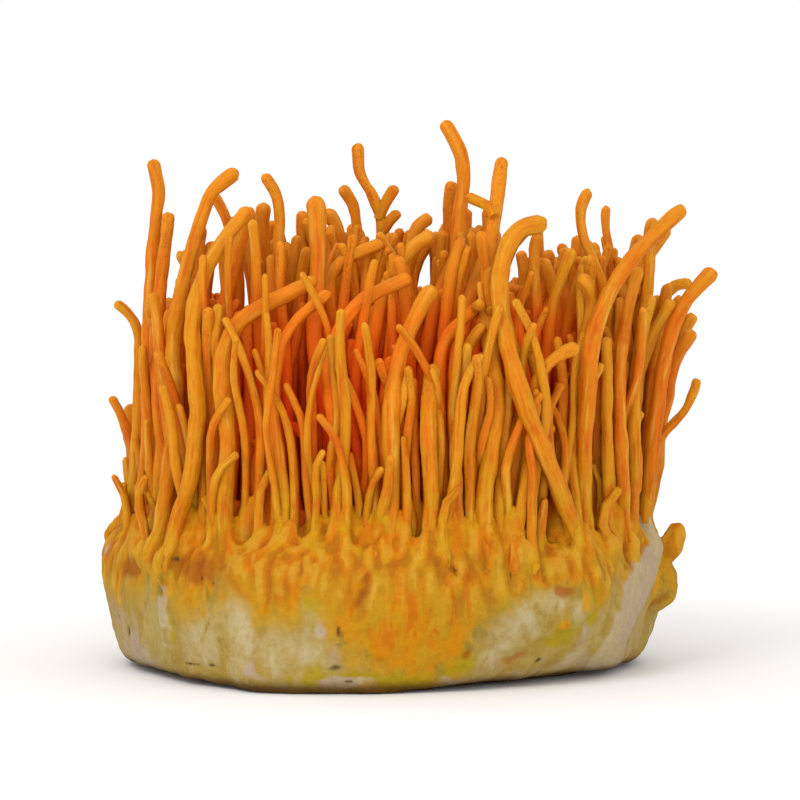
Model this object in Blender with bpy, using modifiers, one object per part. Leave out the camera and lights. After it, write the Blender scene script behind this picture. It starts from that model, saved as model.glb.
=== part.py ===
"""Cultivated cordyceps: a round cake of mycelium and grain with a dense stand of orange stems.

The origin is the middle of the cake's flat bottom. X runs to the right, Y to the back, Z up.
Lengths in the tables are millimetres; MM turns them into metres.
"""
import math
import random

import bmesh
import bpy
from mathutils import Quaternion, Vector
from mathutils.bvhtree import BVHTree
from mathutils.kdtree import KDTree

MM = 0.001

# Cake: radii by compass angle in degrees, 0 at +X and -90 at the front
CAKE_STEPS = 36
CAKE_FOOT_RADII = ((-180, 45), (-150, 44.5), (-128, 47), (-113, 50), (-95, 47.8), (-75, 44.5),
                   (-45, 43.5), (-20, 44.5), (0, 45), (45, 45.5), (90, 46), (135, 45.5))
CAKE_WAIST_RADII = ((-180, 49), (-145, 48.5), (-113, 50.6), (-90, 49.6), (-60, 48.6), (-30, 48.8),
                    (0, 49.6), (45, 49), (90, 49.4), (135, 48.8))
# Profile from the middle of the top to the middle of the bottom: share of the radius, height,
# and how far the radius has gone from the foot's (0) to the waist's (1)
CAKE_PROFILE = ((0.0, 21.6, 1.0), (0.32, 21.9, 1.0), (0.62, 21.8, 1.0), (0.83, 21.4, 1.0),
                (0.925, 20.2, 1.0), (0.98, 17.4, 1.0), (1.0, 13.6, 1.0), (1.0, 9.2, 0.8),
                (1.0, 5.0, 0.55), (1.0, 2.0, 0.3), (0.985, 0.5, 0.1), (0.955, 0.0, 0.0),
                (0.5, 0.0, 0.0), (0.0, 0.0, 0.0))
# Swellings and hollows of the cake's side: angle, height, reach along the side, push outwards
CAKE_LUMPS = ((180, 21.5, 7.0, 1.6), (-42, 16.0, 7.0, 1.3), (-47, 8.0, 7.0, 1.4), (-60, 6.0, 6.0, -0.8),
              (-132, 9.0, 9.0, 0.9), (-152, 14.0, 7.0, -0.7), (-95, 12.0, 10.0, 0.8),
              (-18, 9.0, 7.0, -0.9), (-75, 15.0, 6.0, 0.6), (-115, 4.0, 8.0, 0.7),
              (30, 12.0, 9.0, 0.9), (62, 8.0, 8.0, -0.7), (95, 14.0, 10.0, 0.9),
              (128, 7.0, 8.0, 0.8), (155, 13.0, 8.0, -0.8), (75, 19.0, 7.0, 0.7))

# Bud on the right of the cake: an upper lobe and a lower lobe, as centre lines with radii
BUD_LOBES = (
    (((46.0, -7.0, 16.0), 2.0), ((49.8, -7.4, 17.6), 2.1), ((51.6, -7.6, 20.2), 2.0),
     ((52.4, -7.8, 22.6), 1.8), ((52.6, -7.8, 24.5), 1.2), ((52.6, -7.8, 25.2), 0.5)),
    (((45.0, -6.6, 14.6), 2.8), ((49.0, -7.0, 15.4), 2.8), ((50.7, -7.2, 14.4), 2.5),
     ((51.2, -7.4, 12.6), 1.6), ((51.2, -7.4, 11.8), 0.7)),
)

# The tables give each stem as it is seen in a picture plane 25 mm in front of the middle, from
# an eye 800 mm in front of it and 92 mm up. A stem's own depth then sets where it really stands.
EYE_X = 3.2
EYE_Y = -800.0
EYE_Z = 92.0
PICTURE_Y = -25.0

# Each stem: depth (Y) at foot, middle and tip, thickness at foot, middle and tip, and the
# points (x, z) from foot to tip
STEMS = (
    ((3, 2, 0), (2.5, 2.3, 1.3),
     ((-44.8, 21.5), (-43.9, 28), (-42.9, 33), (-42.3, 37), (-42.7, 40), (-43.8, 43), (-44.9, 45.6),
      (-46, 47.8))),
    ((-4, -3, -4), (2.4, 2.3, 1.4),
     ((-43.6, 23), (-42.9, 30), (-42.3, 36), (-41.9, 42), (-41.6, 48), (-41.6, 54), (-41.6, 58),
      (-42, 60.5), (-43, 62.6), (-45, 64.3))),
    ((-13, -12, -10), (2.6, 2.6, 2.1),
     ((-41.4, 22), (-41, 28), (-40.6, 34), (-40.1, 40), (-39.9, 46), (-39.9, 52), (-39.9, 58),
      (-39.7, 64), (-39.3, 70), (-39.1, 75), (-38.5, 80), (-38.2, 84), (-38.7, 87), (-39, 88.4))),
    ((-20, -17, -14), (2.6, 2.6, 2.0),
     ((-39.4, 22), (-38.6, 28), (-38, 34), (-37.6, 40), (-37.7, 46), (-38.4, 52), (-38.6, 57),
      (-38.3, 62), (-37.9, 67), (-37.3, 73), (-36.7, 77), (-36.5, 79.4))),
    ((-26, -25, -20), (2.8, 2.9, 2.2),
     ((-38, 23), (-37.6, 28), (-36.9, 33), (-36.1, 39), (-35.5, 45), (-35.4, 50), (-35.7, 55),
      (-35.5, 60), (-34.9, 64), (-34, 68), (-33, 72), (-31.7, 76), (-30.6, 79.5), (-29.9, 82),
      (-29, 83.9), (-27.3, 85.6), (-25.4, 86.9))),
    ((-31, -34, -28), (2.8, 2.9, 2.4),
     ((-36.2, 20), (-35.2, 27), (-33.8, 31), (-32.6, 35), (-32.1, 40), (-31.5, 45), (-31.8, 50),
      (-32.3, 56), (-32.3, 61), (-31.6, 65.5), (-30.4, 69.5), (-28.6, 73), (-26.5, 76),
      (-24.5, 78.5), (-23, 80.3))),
    ((-26, -27, -26), (2.0, 2.3, 1.9),
     ((-30.3, 23), (-29.8, 30), (-29.4, 38), (-29.3, 45), (-29.6, 50), (-29.9, 54), (-29.4, 58.5))),
    ((-14, -16, -18), (2.4, 2.6, 2.2),
     ((-27, 22), (-27.6, 30), (-28, 38), (-28, 46), (-27.8, 54), (-27.3, 60), (-26.6, 65),
      (-25.8, 69), (-24.8, 73), (-23.6, 77), (-22.6, 80.3))),
    ((-2, -4, -10), (1.9, 1.9, 1.7),
     ((-27.5, 24), (-27.6, 34), (-27.6, 44), (-27.2, 54), (-26.6, 62), (-25.8, 69), (-25.7, 74),
      (-26.2, 78), (-27.2, 80.6), (-28.3, 82.4))),
    ((-37, -36, -32), (2.5, 3.2, 2.5),
     ((-26.6, 20.5), (-27, 27), (-26.9, 32), (-26.4, 37), (-26.5, 42), (-27, 47), (-27.4, 52),
      (-27.1, 56), (-26, 59), (-24.3, 61.3), (-21.8, 63.2), (-19, 64.8), (-15.5, 66.5), (-12, 68.3))),
    ((-29, -27, -24), (2.2, 2.2, 1.9),
     ((-24.6, 23.5), (-23.6, 28), (-22.6, 32), (-21.5, 36), (-21, 41), (-21.2, 46), (-21.3, 52),
      (-21, 57), (-20.3, 61))),
    ((-8, -8, -12), (2.0, 2.1, 2.2),
     ((-23.4, 23), (-23.4, 32), (-23.4, 42), (-23.2, 48), (-22.6, 54), (-22, 60), (-21.6, 65),
      (-21.5, 69), (-22, 73), (-22.6, 77), (-22.9, 80.3))),
    ((2, 0, -6), (2.2, 2.3, 2.3),
     ((-19.6, 24), (-19.6, 32), (-19.9, 42), (-20, 48), (-19.9, 54), (-19.7, 60), (-19.4, 65),
      (-19.4, 69), (-20, 73), (-20.4, 77), (-20.2, 81))),
    ((-41.5, -40, -35), (1.9, 1.9, 1.9),
     ((-17.5, 19.5), (-17, 25), (-16.6, 30), (-17, 35), (-17.6, 39), (-18.2, 43), (-18.4, 48),
      (-18, 53), (-17.2, 57), (-15.8, 60), (-14, 62.3), (-12, 64), (-9.5, 66))),
    ((-14, -14, -16), (2.0, 2.0, 1.9),
     ((-16, 24), (-16, 32), (-16.2, 40), (-16.3, 48), (-16.5, 54), (-17, 60), (-17.6, 66),
      (-17.9, 70), (-17.6, 74), (-17.4, 78), (-17.6, 81), (-17.9, 84), (-18.5, 85.5), (-19.7, 86))),
    ((-30, -28, -22), (2.4, 2.6, 3.1),
     ((-8.2, 21), (-8, 28), (-7.9, 34), (-8.3, 40), (-9.2, 45), (-10.3, 50), (-11.2, 55),
      (-11.5, 60), (-11.2, 65), (-10.9, 70), (-10.9, 75), (-11.1, 79), (-11.4, 82))),
    ((8, 8, 4), (2.0, 2.2, 2.3),
     ((-7, 24), (-6.6, 34), (-6, 46), (-6.3, 54), (-7.3, 62), (-7.2, 70), (-7, 75), (-7.8, 78.3),
      (-9, 79.9))),
    ((-42, -40, -35), (2.7, 2.6, 2.3),
     ((-6.6, 20), (-6.4, 26), (-6.3, 31), (-6.7, 36), (-7.3, 40), (-8, 44), (-8.7, 48), (-9, 51.5),
      (-8.8, 55), (-7.9, 58.5), (-6.5, 61.5), (-4.5, 64), (-2, 65.9), (1, 67.3), (4.2, 68.7))),
    ((-20, -20, -22), (2.4, 2.5, 2.3),
     ((-5.6, 22), (-5.4, 30), (-5.2, 38), (-5.4, 46), (-6, 53), (-7.2, 59), (-8.6, 64), (-9, 67.5),
      (-8.2, 70.3), (-6, 72.3), (-3.5, 73.4), (-0.6, 74.6))),
    ((12, 12, 8), (1.9, 1.9, 2.0),
     ((-4, 24), (-3.9, 38), (-3.8, 46), (-3.8, 54), (-3.9, 60), (-4, 66), (-4.2, 71), (-4.3, 75),
      (-4.3, 78.5), (-4.4, 80.8), (-5.1, 82.6), (-6.3, 84))),
    ((-40.5, -39.5, -37), (2.0, 2.0, 1.8),
     ((-3, 18), (-2.2, 22), (-1.3, 27), (-0.8, 32), (-0.5, 37), (-0.3, 42), (0.1, 46), (0.8, 50),
      (1.6, 54.5))),
    ((-33, -33, -33), (2.0, 2.1, 1.9),
     ((-1.8, 22), (-1.9, 28), (-2, 34), (-2.3, 42), (-2.6, 50), (-3, 55), (-3.2, 58.4))),
    ((-26, -26, -26), (2.3, 2.4, 2.3),
     ((-1.6, 21), (-1.4, 28), (-1.3, 36), (-1.5, 44), (-1.7, 50), (-1.5, 56), (-0.8, 61), (0.2, 65.5),
      (1.6, 69), (3.2, 71.6), (5, 73.8), (6.6, 75.3), (8.2, 76))),
    ((-46, -43.5, -38), (2.0, 3.0, 2.5),
     ((-0.9, 15.8), (0.3, 20), (1.5, 25), (2, 30), (1.9, 36), (1.6, 41), (1.6, 46), (2.1, 50),
      (2.9, 54), (4.1, 58), (5.6, 61.6), (7, 64.4), (8.6, 66.8))),
    ((-20, -20, -22), (2.0, 2.2, 2.1),
     ((0.4, 24), (0.2, 34), (-0.4, 44), (-0.9, 52), (-1.2, 58), (-1.2, 63.2))),
    ((-2, -2, 0), (2.2, 2.2, 2.0),
     ((-0.3, 24), (-0.3, 38), (-0.4, 46), (-0.5, 54), (-0.6, 60), (-0.6, 66), (-0.3, 70), (0.1, 74),
      (0, 77.5), (-0.4, 80), (-1, 82), (-1.9, 84), (-2.9, 85.7), (-4.1, 87.2), (-4.4, 89.2),
      (-4, 91.2))),
    ((-8, -8, -4), (2.0, 2.0, 2.1),
     ((3.5, 24), (3.6, 34), (3.9, 44), (4.4, 54), (5, 62), (5.4, 65), (5.2, 69), (5, 73), (5.3, 76.3),
      (6.6, 78), (8, 79))),
    ((-41, -41, -40), (1.5, 1.5, 1.4),
     ((6.4, 22), (6.2, 28), (6, 34), (5.7, 40), (5.7, 46), (5.5, 50.8))),
    ((-45, -44.5, -42), (2.5, 2.7, 2.5),
     ((7.8, 20), (8.4, 26), (8.7, 31), (8.5, 36), (8.1, 41), (8.2, 46), (8.5, 50), (8.8, 53.2))),
    ((-40, -39, -35), (2.2, 2.2, 1.9),
     ((10.6, 20.5), (10.7, 28), (10.6, 34), (10.4, 40), (10, 45), (9.8, 50), (10, 54), (10.7, 57.5),
      (12.2, 60), (14.2, 62), (16.8, 64.3))),
    ((-33, -33, -33), (2.0, 2.1, 1.9),
     ((12, 22), (12, 30), (11.9, 38), (12, 46), (12.3, 52), (12.8, 56), (14, 58.6))),
    ((4, 4, -3), (2.2, 2.2, 2.2),
     ((11, 24), (11, 36), (11, 46), (11, 54), (11, 62), (11.2, 68), (11.4, 74), (11.5, 78),
      (11.6, 82), (12.1, 84.6))),
    ((-14, -14, -8), (2.4, 2.6, 2.4),
     ((13.4, 23), (13.3, 31), (13.1, 39), (13, 47), (13, 54), (12.8, 60), (12.6, 66), (12.8, 72),
      (13.2, 77), (13.6, 82), (14.1, 86), (14, 89), (13, 91.7), (11.9, 93.8), (11, 95.1))),
    ((-43.5, -41.5, -38), (2.2, 2.1, 1.8),
     ((12.8, 19.5), (13, 26), (12.9, 32), (12.8, 38), (13.1, 42), (13.6, 46), (14, 50), (14.3, 54),
      (14.9, 57), (16, 59), (17.3, 60.3))),
    ((-28, -30, -24), (2.3, 2.5, 2.5),
     ((15.2, 24), (15, 32), (14.6, 40), (14.3, 48), (14, 55), (14.2, 60), (14.8, 64.5), (15.9, 67.8),
      (17, 70.2), (17.8, 72.4))),
    ((-36, -35, -34), (2.0, 2.2, 1.7),
     ((15.6, 22), (15.6, 28), (15.7, 34), (16.2, 40), (16.6, 46), (16.9, 51), (17.2, 55.3))),
    ((-41.5, -40, -22), (3.0, 2.9, 2.1),
     ((18.4, 20), (17.8, 25), (17.6, 30), (18.2, 35), (19, 40), (19.7, 45), (19.5, 50), (18.9, 55),
      (18.4, 60), (18.2, 65), (18.3, 70), (18.6, 74), (19.2, 78), (19.8, 82), (20.1, 86),
      (20.6, 88.7))),
    ((-31, -44, -30), (3.1, 3.1, 3.0),
     ((34.3, 19.5), (33, 25), (31.6, 30), (29.8, 34.5), (28, 39), (26.3, 43), (24.7, 47), (23.4, 51),
      (22.2, 55), (21.2, 59), (20.5, 63), (20.3, 67), (20.6, 71), (21.7, 74.5), (23.6, 77.3),
      (26, 79), (27.4, 78.2))),
    ((-6, -6, -8), (1.9, 1.9, 1.8),
     ((22.8, 24), (22.8, 34), (22.6, 44), (22.7, 52), (22.9, 58), (22.8, 63), (22.4, 67.1))),
    ((0, 0, -2), (1.9, 1.9, 1.7),
     ((24.2, 24), (24, 34), (24, 44), (24, 52), (24, 60), (24.2, 66), (24.4, 70), (23.9, 72.8))),
    ((-40, -38, -40), (2.3, 2.3, 2.0),
     ((22.4, 20), (23.2, 25), (24.2, 30), (25, 35), (25.4, 40), (25.6, 45), (26.1, 49), (27.3, 52.3),
      (29.2, 54.8), (31.2, 56.2), (33, 56.9))),
    ((-20, -20, -26), (2.0, 1.9, 1.6),
     ((25.8, 23), (25.9, 32), (26, 40), (26.3, 47), (26.7, 54), (26.8, 60), (26.6, 66), (26.3, 70),
      (26.2, 73), (26.7, 75.6))),
    ((8, 8, 6), (2.2, 2.2, 2.1),
     ((28.6, 24), (28.6, 32), (28.6, 40), (28.7, 48), (28.8, 56), (28.8, 62), (28.5, 68), (28.8, 73))),
    ((-10, -10, -8), (2.3, 2.4, 2.2),
     ((31, 23), (31, 32), (31.2, 40), (31.4, 48), (31.3, 56), (31, 62), (30.9, 68), (31.6, 73.4))),
    ((2, 2, 0), (2.2, 2.2, 2.1),
     ((33.6, 24), (33.6, 32), (33.6, 40), (33.4, 50), (33, 58), (32.9, 66), (33.2, 71), (33.8, 75.4))),
    ((-24, -27, -29), (2.1, 2.2, 2.2),
     ((34.2, 22), (33.8, 30), (33.6, 38), (33.7, 46), (33.8, 52), (34.4, 57), (35.4, 60.5), (36, 64),
      (35.8, 67), (34.4, 68.6))),
    ((-26, -34, -20), (2.4, 3.0, 2.3),
     ((35.4, 21.5), (35, 28), (34.8, 34), (34.9, 40), (35.3, 46), (35.6, 52), (35.9, 57), (36.9, 61),
      (38.3, 64.6), (40, 68), (42.1, 71.3), (44.8, 74.4), (47.5, 77), (49.8, 79.2), (51.3, 80.5))),
    ((-14, -14, -14), (1.9, 1.9, 1.7),
     ((38.2, 23), (38.4, 32), (38.7, 42), (39, 50), (39, 56), (38.8, 62), (38.2, 67), (37.2, 69.8),
      (36, 72.3), (35, 74.8), (34.3, 77), (33.9, 79.5), (34.2, 82), (35.3, 83.4))),
    ((-4, -4, -2), (2.0, 2.0, 1.4),
     ((40.2, 24), (40.3, 32), (40.4, 40), (40.6, 48), (40.6, 56), (40.4, 62), (39.9, 68), (39.4, 71.5),
      (38.9, 74.5), (38.5, 77.5), (38.5, 80.5))),
    ((2, 0, -2), (2.1, 2.2, 1.9),
     ((41.6, 23), (41.8, 32), (42, 40), (42.2, 48), (42.4, 56), (42.4, 62), (42.3, 68), (43, 72),
      (44, 75.6))),
    ((-19, -24, -20), (2.3, 2.4, 2.1),
     ((41.4, 22), (41.6, 30), (41.3, 38), (41, 46), (41, 53), (41.6, 60), (42.8, 66), (44, 70))),
    ((-14, -20, -18), (2.3, 2.4, 2.1),
     ((42.8, 22.5), (43.2, 30), (43.4, 38), (43.4, 46), (43.9, 53), (44.8, 60), (46, 65.4))),
    ((-5, -8, -14), (2.2, 2.2, 2.3),
     ((42.4, 23), (43, 32), (43.4, 40), (43.8, 48), (44.4, 56), (45, 62), (45.6, 68), (45.9, 72),
      (45.9, 75.5), (46.6, 78.3))),
    ((12, 10, 4), (2.1, 2.2, 2.0),
     ((43, 24), (44, 32), (45, 40), (45.8, 48), (46.4, 56), (47.3, 62), (48.4, 65.6), (50, 67.4),
      (52.4, 68))),
    ((-9, -14, -16), (2.4, 2.7, 2.5),
     ((44.6, 22), (45.6, 30), (46.2, 36), (46.8, 42), (47.5, 48), (48.4, 54), (49.7, 59.5),
      (51.4, 63.5), (53.2, 66.2), (55, 68), (56.6, 69.8))),
    ((8, 7, 4), (2.1, 2.2, 1.9),
     ((43.6, 24), (45, 32), (46.2, 39), (47.4, 45), (48.6, 51), (50.4, 56), (52, 60), (53.2, 62.1))),
    ((4, 0, -4), (2.3, 2.4, 2.1),
     ((44.6, 23), (45.8, 29), (46.6, 33), (47.4, 37), (47.7, 41), (48.2, 45), (49.2, 49), (49.8, 52.5),
      (50.8, 55.5), (52.2, 57.8), (53.1, 59.4))),
    ((-1, -6, -10), (2.0, 1.8, 1.3),
     ((44.8, 23), (45.6, 30), (46.3, 35), (47, 38.5), (47.8, 41), (48.9, 42.7), (50.4, 44.2),
      (52, 46), (53.3, 48.5), (54, 50.8))),
)

# Side branches: number of the stem, depth, thickness, and points from its root to its tip
BRANCHES = (
    (26, (-1, -1, -1), (1.9, 2.0, 2.0), ((-0.4, 79), (0.3, 81), (1.1, 82.4), (2.1, 84))),
    (26, (-1, -1, -1), (1.9, 1.9, 1.7), ((0, 76.4), (0.9, 78), (1.7, 79.1), (2.5, 79.8))),
    (37, (-28.5, -27, -26), (1.7, 1.8, 1.8), ((19.3, 79.5), (18.3, 81.2), (16.9, 82), (15.4, 82.6))),
)

# Small shoots, laid out as the stems are
SHOOTS = (
    ((10, 9, 8), (2.0, 2.0, 1.8), ((-43.4, 22), (-42.2, 30), (-41.6, 36), (-42.2, 42), (-43.2, 46.4))),
    ((4, 4, 2), (1.9, 1.9, 1.8), ((-13.5, 24), (-13.5, 38), (-13.7, 52), (-13.5, 66), (-13.6, 79.6))),
    ((-33, -32, -30), (1.5, 1.4, 1.2), ((-14.4, 23), (-14.5, 30), (-14.9, 37), (-16, 47.5))),
    ((-27, -27, -27), (2.0, 2.0, 1.8), ((-11.6, 23), (-11.8, 29), (-12.2, 35))),
    ((-37, -36.5, -36), (1.9, 2.0, 1.4), ((-2.9, 22), (-3.1, 30), (-3.9, 38), (-5, 45), (-5.5, 49.2))),
    ((-35, -36.5, -37), (1.4, 1.4, 1.4), ((-0.9, 22), (-0.6, 31), (-0.7, 41), (-1.4, 46.5), (-2.1, 49.6))),
    ((-29, -29, -29), (1.9, 1.9, 1.8), ((-2.6, 23), (-2.9, 36), (-3.9, 47), (-5, 57.6))),
    ((12, 12, 10), (2.0, 2.1, 2.0), ((10, 24), (10, 38), (10, 52), (9.9, 66), (9.2, 76))),
    ((-30, -33, -33), (1.6, 1.5, 1.4), ((31.6, 22), (30.4, 32), (29, 40), (28.8, 46), (30.6, 50))),
    ((-18, -22, -24), (1.7, 1.8, 1.5), ((33.2, 24), (32.2, 33), (31.8, 40), (32.3, 48), (33.4, 54))),
    ((-23, -25, -25), (1.9, 2.0, 1.8), ((39.2, 22), (38.9, 32), (38.8, 44), (38.6, 58))),
)

# Crowd of further stems inside the stand and round its back and sides: places for their feet,
# how many of them are filled at most and how near, and the ranges each stem's shape is drawn from
CROWD_SEED = 11
CROWD_PLACES = 120
CROWD_RADIUS = 45.0
CROWD_MOST = 73
CROWD_CLEAR = 4.4
CROWD_FRONT = -26.0
CROWD_SHIFT = 1.0
CROWD_LEAN = (0.5, 5.0)
CROWD_SWAY = 2.4
CROWD_HOOK = 5.0
CROWD_HEIGHT = (0.84, 1.0)
CROWD_WIDTH = (2.1, 3.0)
CROWD_TAPER = (1.0, 1.05, 0.85)
# Shape of a crowd stem: share of its height, of its lean, of its sway and of its hook
CROWD_SHAPE = ((0.0, 0.0, 0.0, 0.0), (0.28, 0.1, 0.5, 0.0), (0.55, 0.4, 1.0, 0.0),
               (0.82, 0.8, 0.4, 0.25), (1.0, 1.0, 0.0, 1.0))
# Highest tip, as it is seen, by x: it leaves the photo's open sky between the tall tips
SKYLINE = ((-60, 38), (-46, 42), (-44, 46), (-41, 60), (-38, 65), (-32, 63), (-22, 63), (-18.5, 76),
           (-7, 76), (3, 75), (6, 64), (8.5, 64), (11, 75), (18, 76), (21, 65), (25.5, 65), (29, 73),
           (39, 73), (44, 70), (48, 60), (56, 46))
# Open gaps between the front stems: from x, to x, and the least depth of what stands behind
GAPS = ((-26, -22, 2), (-16.5, -9, 8), (-8, -6, 4), (5.5, 9, 6), (20.5, 26, 6), (27, 29.5, 2),
        (35.5, 38.5, 2))

# The cake's upper face, where the feet are set down from above, and its gentle unevenness
TOP_HEIGHT = 22.0
DROP_HEIGHT = 60.0
RIM_RADIUS = 46.0
WAVE_HEIGHT = 0.5
WAVE_X = 0.31
WAVE_Y = 0.27

# Spacing of the stems
SAMPLES = 44
CLEAR = 0.9
ROUNDS = 60
FOOT_GAP = 0.3
FOOT_RUN = 2.6
FOOT_TESTS = 12
FOOT_LIFTS = 4
FOOT_FREE = 2.0
DRAWN_PUSH = 0.35
CROWD_PUSH = 0.9
SHARED_PUSH = 0.45
SPREAD_ROUNDS = 3
SPREAD_KEEP = 0.8
ROOT_DEPTH = 1.2

# Facets: a stem has a ring of points each STEM_STEP, within limits; bevel steps set its sides
STEM_STEP = 10.5
STEM_RINGS = (3, 7)
STEM_BEVEL = 1
BRANCH_RINGS = (2, 3)
SHOOT_STEP = 15.0
SHOOT_RINGS = (2, 4)
SHOOT_BEVEL = 0
BUD_BEVEL = 2
TIP_START = 0.955
TIP_SHARE = 0.45

CAKE_COLOUR = (0.55, 0.38, 0.12)
STEM_COLOUR = (0.62, 0.22, 0.02)


def clear_scene():
    for item in list(bpy.data.objects):
        bpy.data.objects.remove(item)


def make_collection(name):
    collection = bpy.data.collections.new(name)
    bpy.context.scene.collection.children.link(collection)
    return collection


def make_material(name, colour, roughness):
    material = bpy.data.materials.new(name)
    material.use_nodes = True
    shader = material.node_tree.nodes["Principled BSDF"]
    shader.inputs["Base Color"].default_value = (*colour, 1.0)
    shader.inputs["Roughness"].default_value = roughness
    shader.inputs["Metallic"].default_value = 0.0
    material.diffuse_color = (*colour, 1.0)
    return material


def blend(pairs, at, period=None):
    """Read a value between the pairs (place, value) with a soft step, round a circle if asked."""
    places = list(pairs)
    if period:
        places.append((places[0][0] + period, places[0][1]))
        at = (at - places[0][0]) % period + places[0][0]
    at = min(max(at, places[0][0]), places[-1][0])
    for (start, low), (end, high) in zip(places, places[1:]):
        if at <= end:
            share = (at - start) / (end - start)
            share = share * share * (3 - 2 * share)
            return low + (high - low) * share
    return places[-1][1]


def cake_point(share, height, waist, angle):
    """A point of the cake's skin, in millimetres, with its lumps."""
    foot = blend(CAKE_FOOT_RADII, angle, 360)
    wide = blend(CAKE_WAIST_RADII, angle, 360)
    radius = share * (foot + (wide - foot) * waist)
    turn = math.radians(angle)
    point = Vector((radius * math.cos(turn), radius * math.sin(turn), height))
    if height < 0.01:
        return point
    push = 0.0
    for lump_angle, lump_height, reach, rise in CAKE_LUMPS:
        lump_turn = math.radians(lump_angle)
        centre = Vector((wide * math.cos(lump_turn), wide * math.sin(lump_turn), lump_height))
        push += rise * math.exp(-(point - centre).length_squared / (reach * reach))
    point.x += push * math.cos(turn)
    point.y += push * math.sin(turn)
    # The upper face is uneven, as grain under a skin of mycelium is
    if share < 0.9 and height > 15:
        point.z += WAVE_HEIGHT * math.sin(point.x * WAVE_X + 1.0) * math.cos(point.y * WAVE_Y)
    return point


def screw_profile(name, points, steps, collection):
    """Turn a profile in the XZ plane once round Z."""
    mesh = bpy.data.meshes.new(name)
    mesh.from_pydata(points, [(i, i + 1) for i in range(len(points) - 1)], [])
    turned = bpy.data.objects.new(name, mesh)
    collection.objects.link(turned)
    screw = turned.modifiers.new("turn", "SCREW")
    screw.steps = steps
    screw.render_steps = steps
    screw.use_merge_vertices = True
    screw.merge_threshold = 0.00001
    screw.use_normal_calculate = True
    return turned


def to_mesh_object(source, name, collection):
    """Make a plain mesh of what an object shows, with loose caps welded, and remove the object."""
    bpy.context.view_layer.update()
    mesh = bpy.data.meshes.new_from_object(source.evaluated_get(bpy.context.evaluated_depsgraph_get()))
    sheet = bmesh.new()
    sheet.from_mesh(mesh)
    bmesh.ops.remove_doubles(sheet, verts=sheet.verts, dist=0.00001)
    bmesh.ops.recalc_face_normals(sheet, faces=sheet.faces)
    sheet.to_mesh(mesh)
    sheet.free()
    place = source.matrix_world.copy()
    bpy.data.objects.remove(source)
    result = bpy.data.objects.new(name, mesh)
    result.matrix_world = place
    collection.objects.link(result)
    return result


def make_cake(name, collection):
    profile = [(share * MM, 0.0, index * MM) for index, (share, _, _) in enumerate(CAKE_PROFILE)]
    turned = screw_profile(name + "_profile", profile, CAKE_STEPS, collection)
    cake = to_mesh_object(turned, name, collection)
    for vertex in cake.data.vertices:
        row = round(vertex.co.z / MM)
        share, height, waist = CAKE_PROFILE[row]
        angle = math.degrees(math.atan2(vertex.co.y, vertex.co.x))
        vertex.co = cake_point(share, height, waist, angle) * MM
    sheet = bmesh.new()
    sheet.from_mesh(cake.data)
    bmesh.ops.recalc_face_normals(sheet, faces=sheet.faces)
    sheet.to_mesh(cake.data)
    sheet.free()
    return cake


def seen_to_real(x, z, depth):
    """Put a point of the picture plane at its real depth along the line of sight."""
    reach = (depth - EYE_Y) / (PICTURE_Y - EYE_Y)
    return Vector((EYE_X + (x - EYE_X) * reach, depth, EYE_Z + (z - EYE_Z) * reach))


def real_to_seen(point):
    reach = (PICTURE_Y - EYE_Y) / (point.y - EYE_Y)
    return EYE_X + (point.x - EYE_X) * reach, EYE_Z + (point.z - EYE_Z) * reach


def three_values(values, share):
    """Run from the first value through the second, half way, to the third."""
    foot, middle, tip = values
    if share < 0.5:
        return foot + (middle - foot) * share * 2
    return middle + (tip - middle) * (share - 0.5) * 2


def smooth_line(points, count):
    """Points evenly spaced along a Catmull-Rom curve through the given points."""
    ends = [points[0] * 2 - points[1]] + list(points) + [points[-1] * 2 - points[-2]]
    dense = []
    for a, b, c, d in zip(ends, ends[1:], ends[2:], ends[3:]):
        for step in range(8):
            t = step / 8
            dense.append(0.5 * (2 * b + (c - a) * t + (2 * a - 5 * b + 4 * c - d) * t * t
                                + (3 * b - a - 3 * c + d) * t * t * t))
    dense.append(points[-1])
    lengths = [0.0]
    for start, end in zip(dense, dense[1:]):
        lengths.append(lengths[-1] + (end - start).length)
    line = []
    index = 0
    for sample in range(count):
        at = lengths[-1] * sample / (count - 1)
        while index < len(dense) - 2 and lengths[index + 1] < at:
            index += 1
        span = lengths[index + 1] - lengths[index]
        share = (at - lengths[index]) / span if span else 0.0
        line.append(dense[index].lerp(dense[index + 1], min(share, 1.0)))
    return line


class Line:
    """A stem's centre line in millimetres: its samples, its radii and whether the photo fixes it."""

    def __init__(self, samples, widths, drawn):
        self.samples = samples
        self.drawn = drawn
        last = len(samples) - 1
        self.radii = [three_values(widths, i / last) / 2 for i in range(last + 1)]


def drawn_line(depths, widths, points):
    flat = smooth_line([Vector((x, z, 0.0)) for x, z in points], SAMPLES)
    last = SAMPLES - 1
    samples = [seen_to_real(p.x, p.y, three_values(depths, i / last)) for i, p in enumerate(flat)]
    return Line(samples, widths, True)


def clear_foot(spot, axis, radius, skin):
    """Lift a round foot along its axis until its whole rim keeps the gap to the skin."""
    across = axis.orthogonal().normalized() * radius
    start = spot
    for _ in range(FOOT_LIFTS):
        least = FOOT_GAP
        for step in range(FOOT_TESTS):
            rim = start + Quaternion(axis, 2 * math.pi * step / FOOT_TESTS) @ across
            near, near_normal, _, _ = skin.find_nearest(rim * MM)
            least = min(least, (rim - near / MM).dot(near_normal))
        start = start + axis * (FOOT_GAP - least)
    return start


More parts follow.
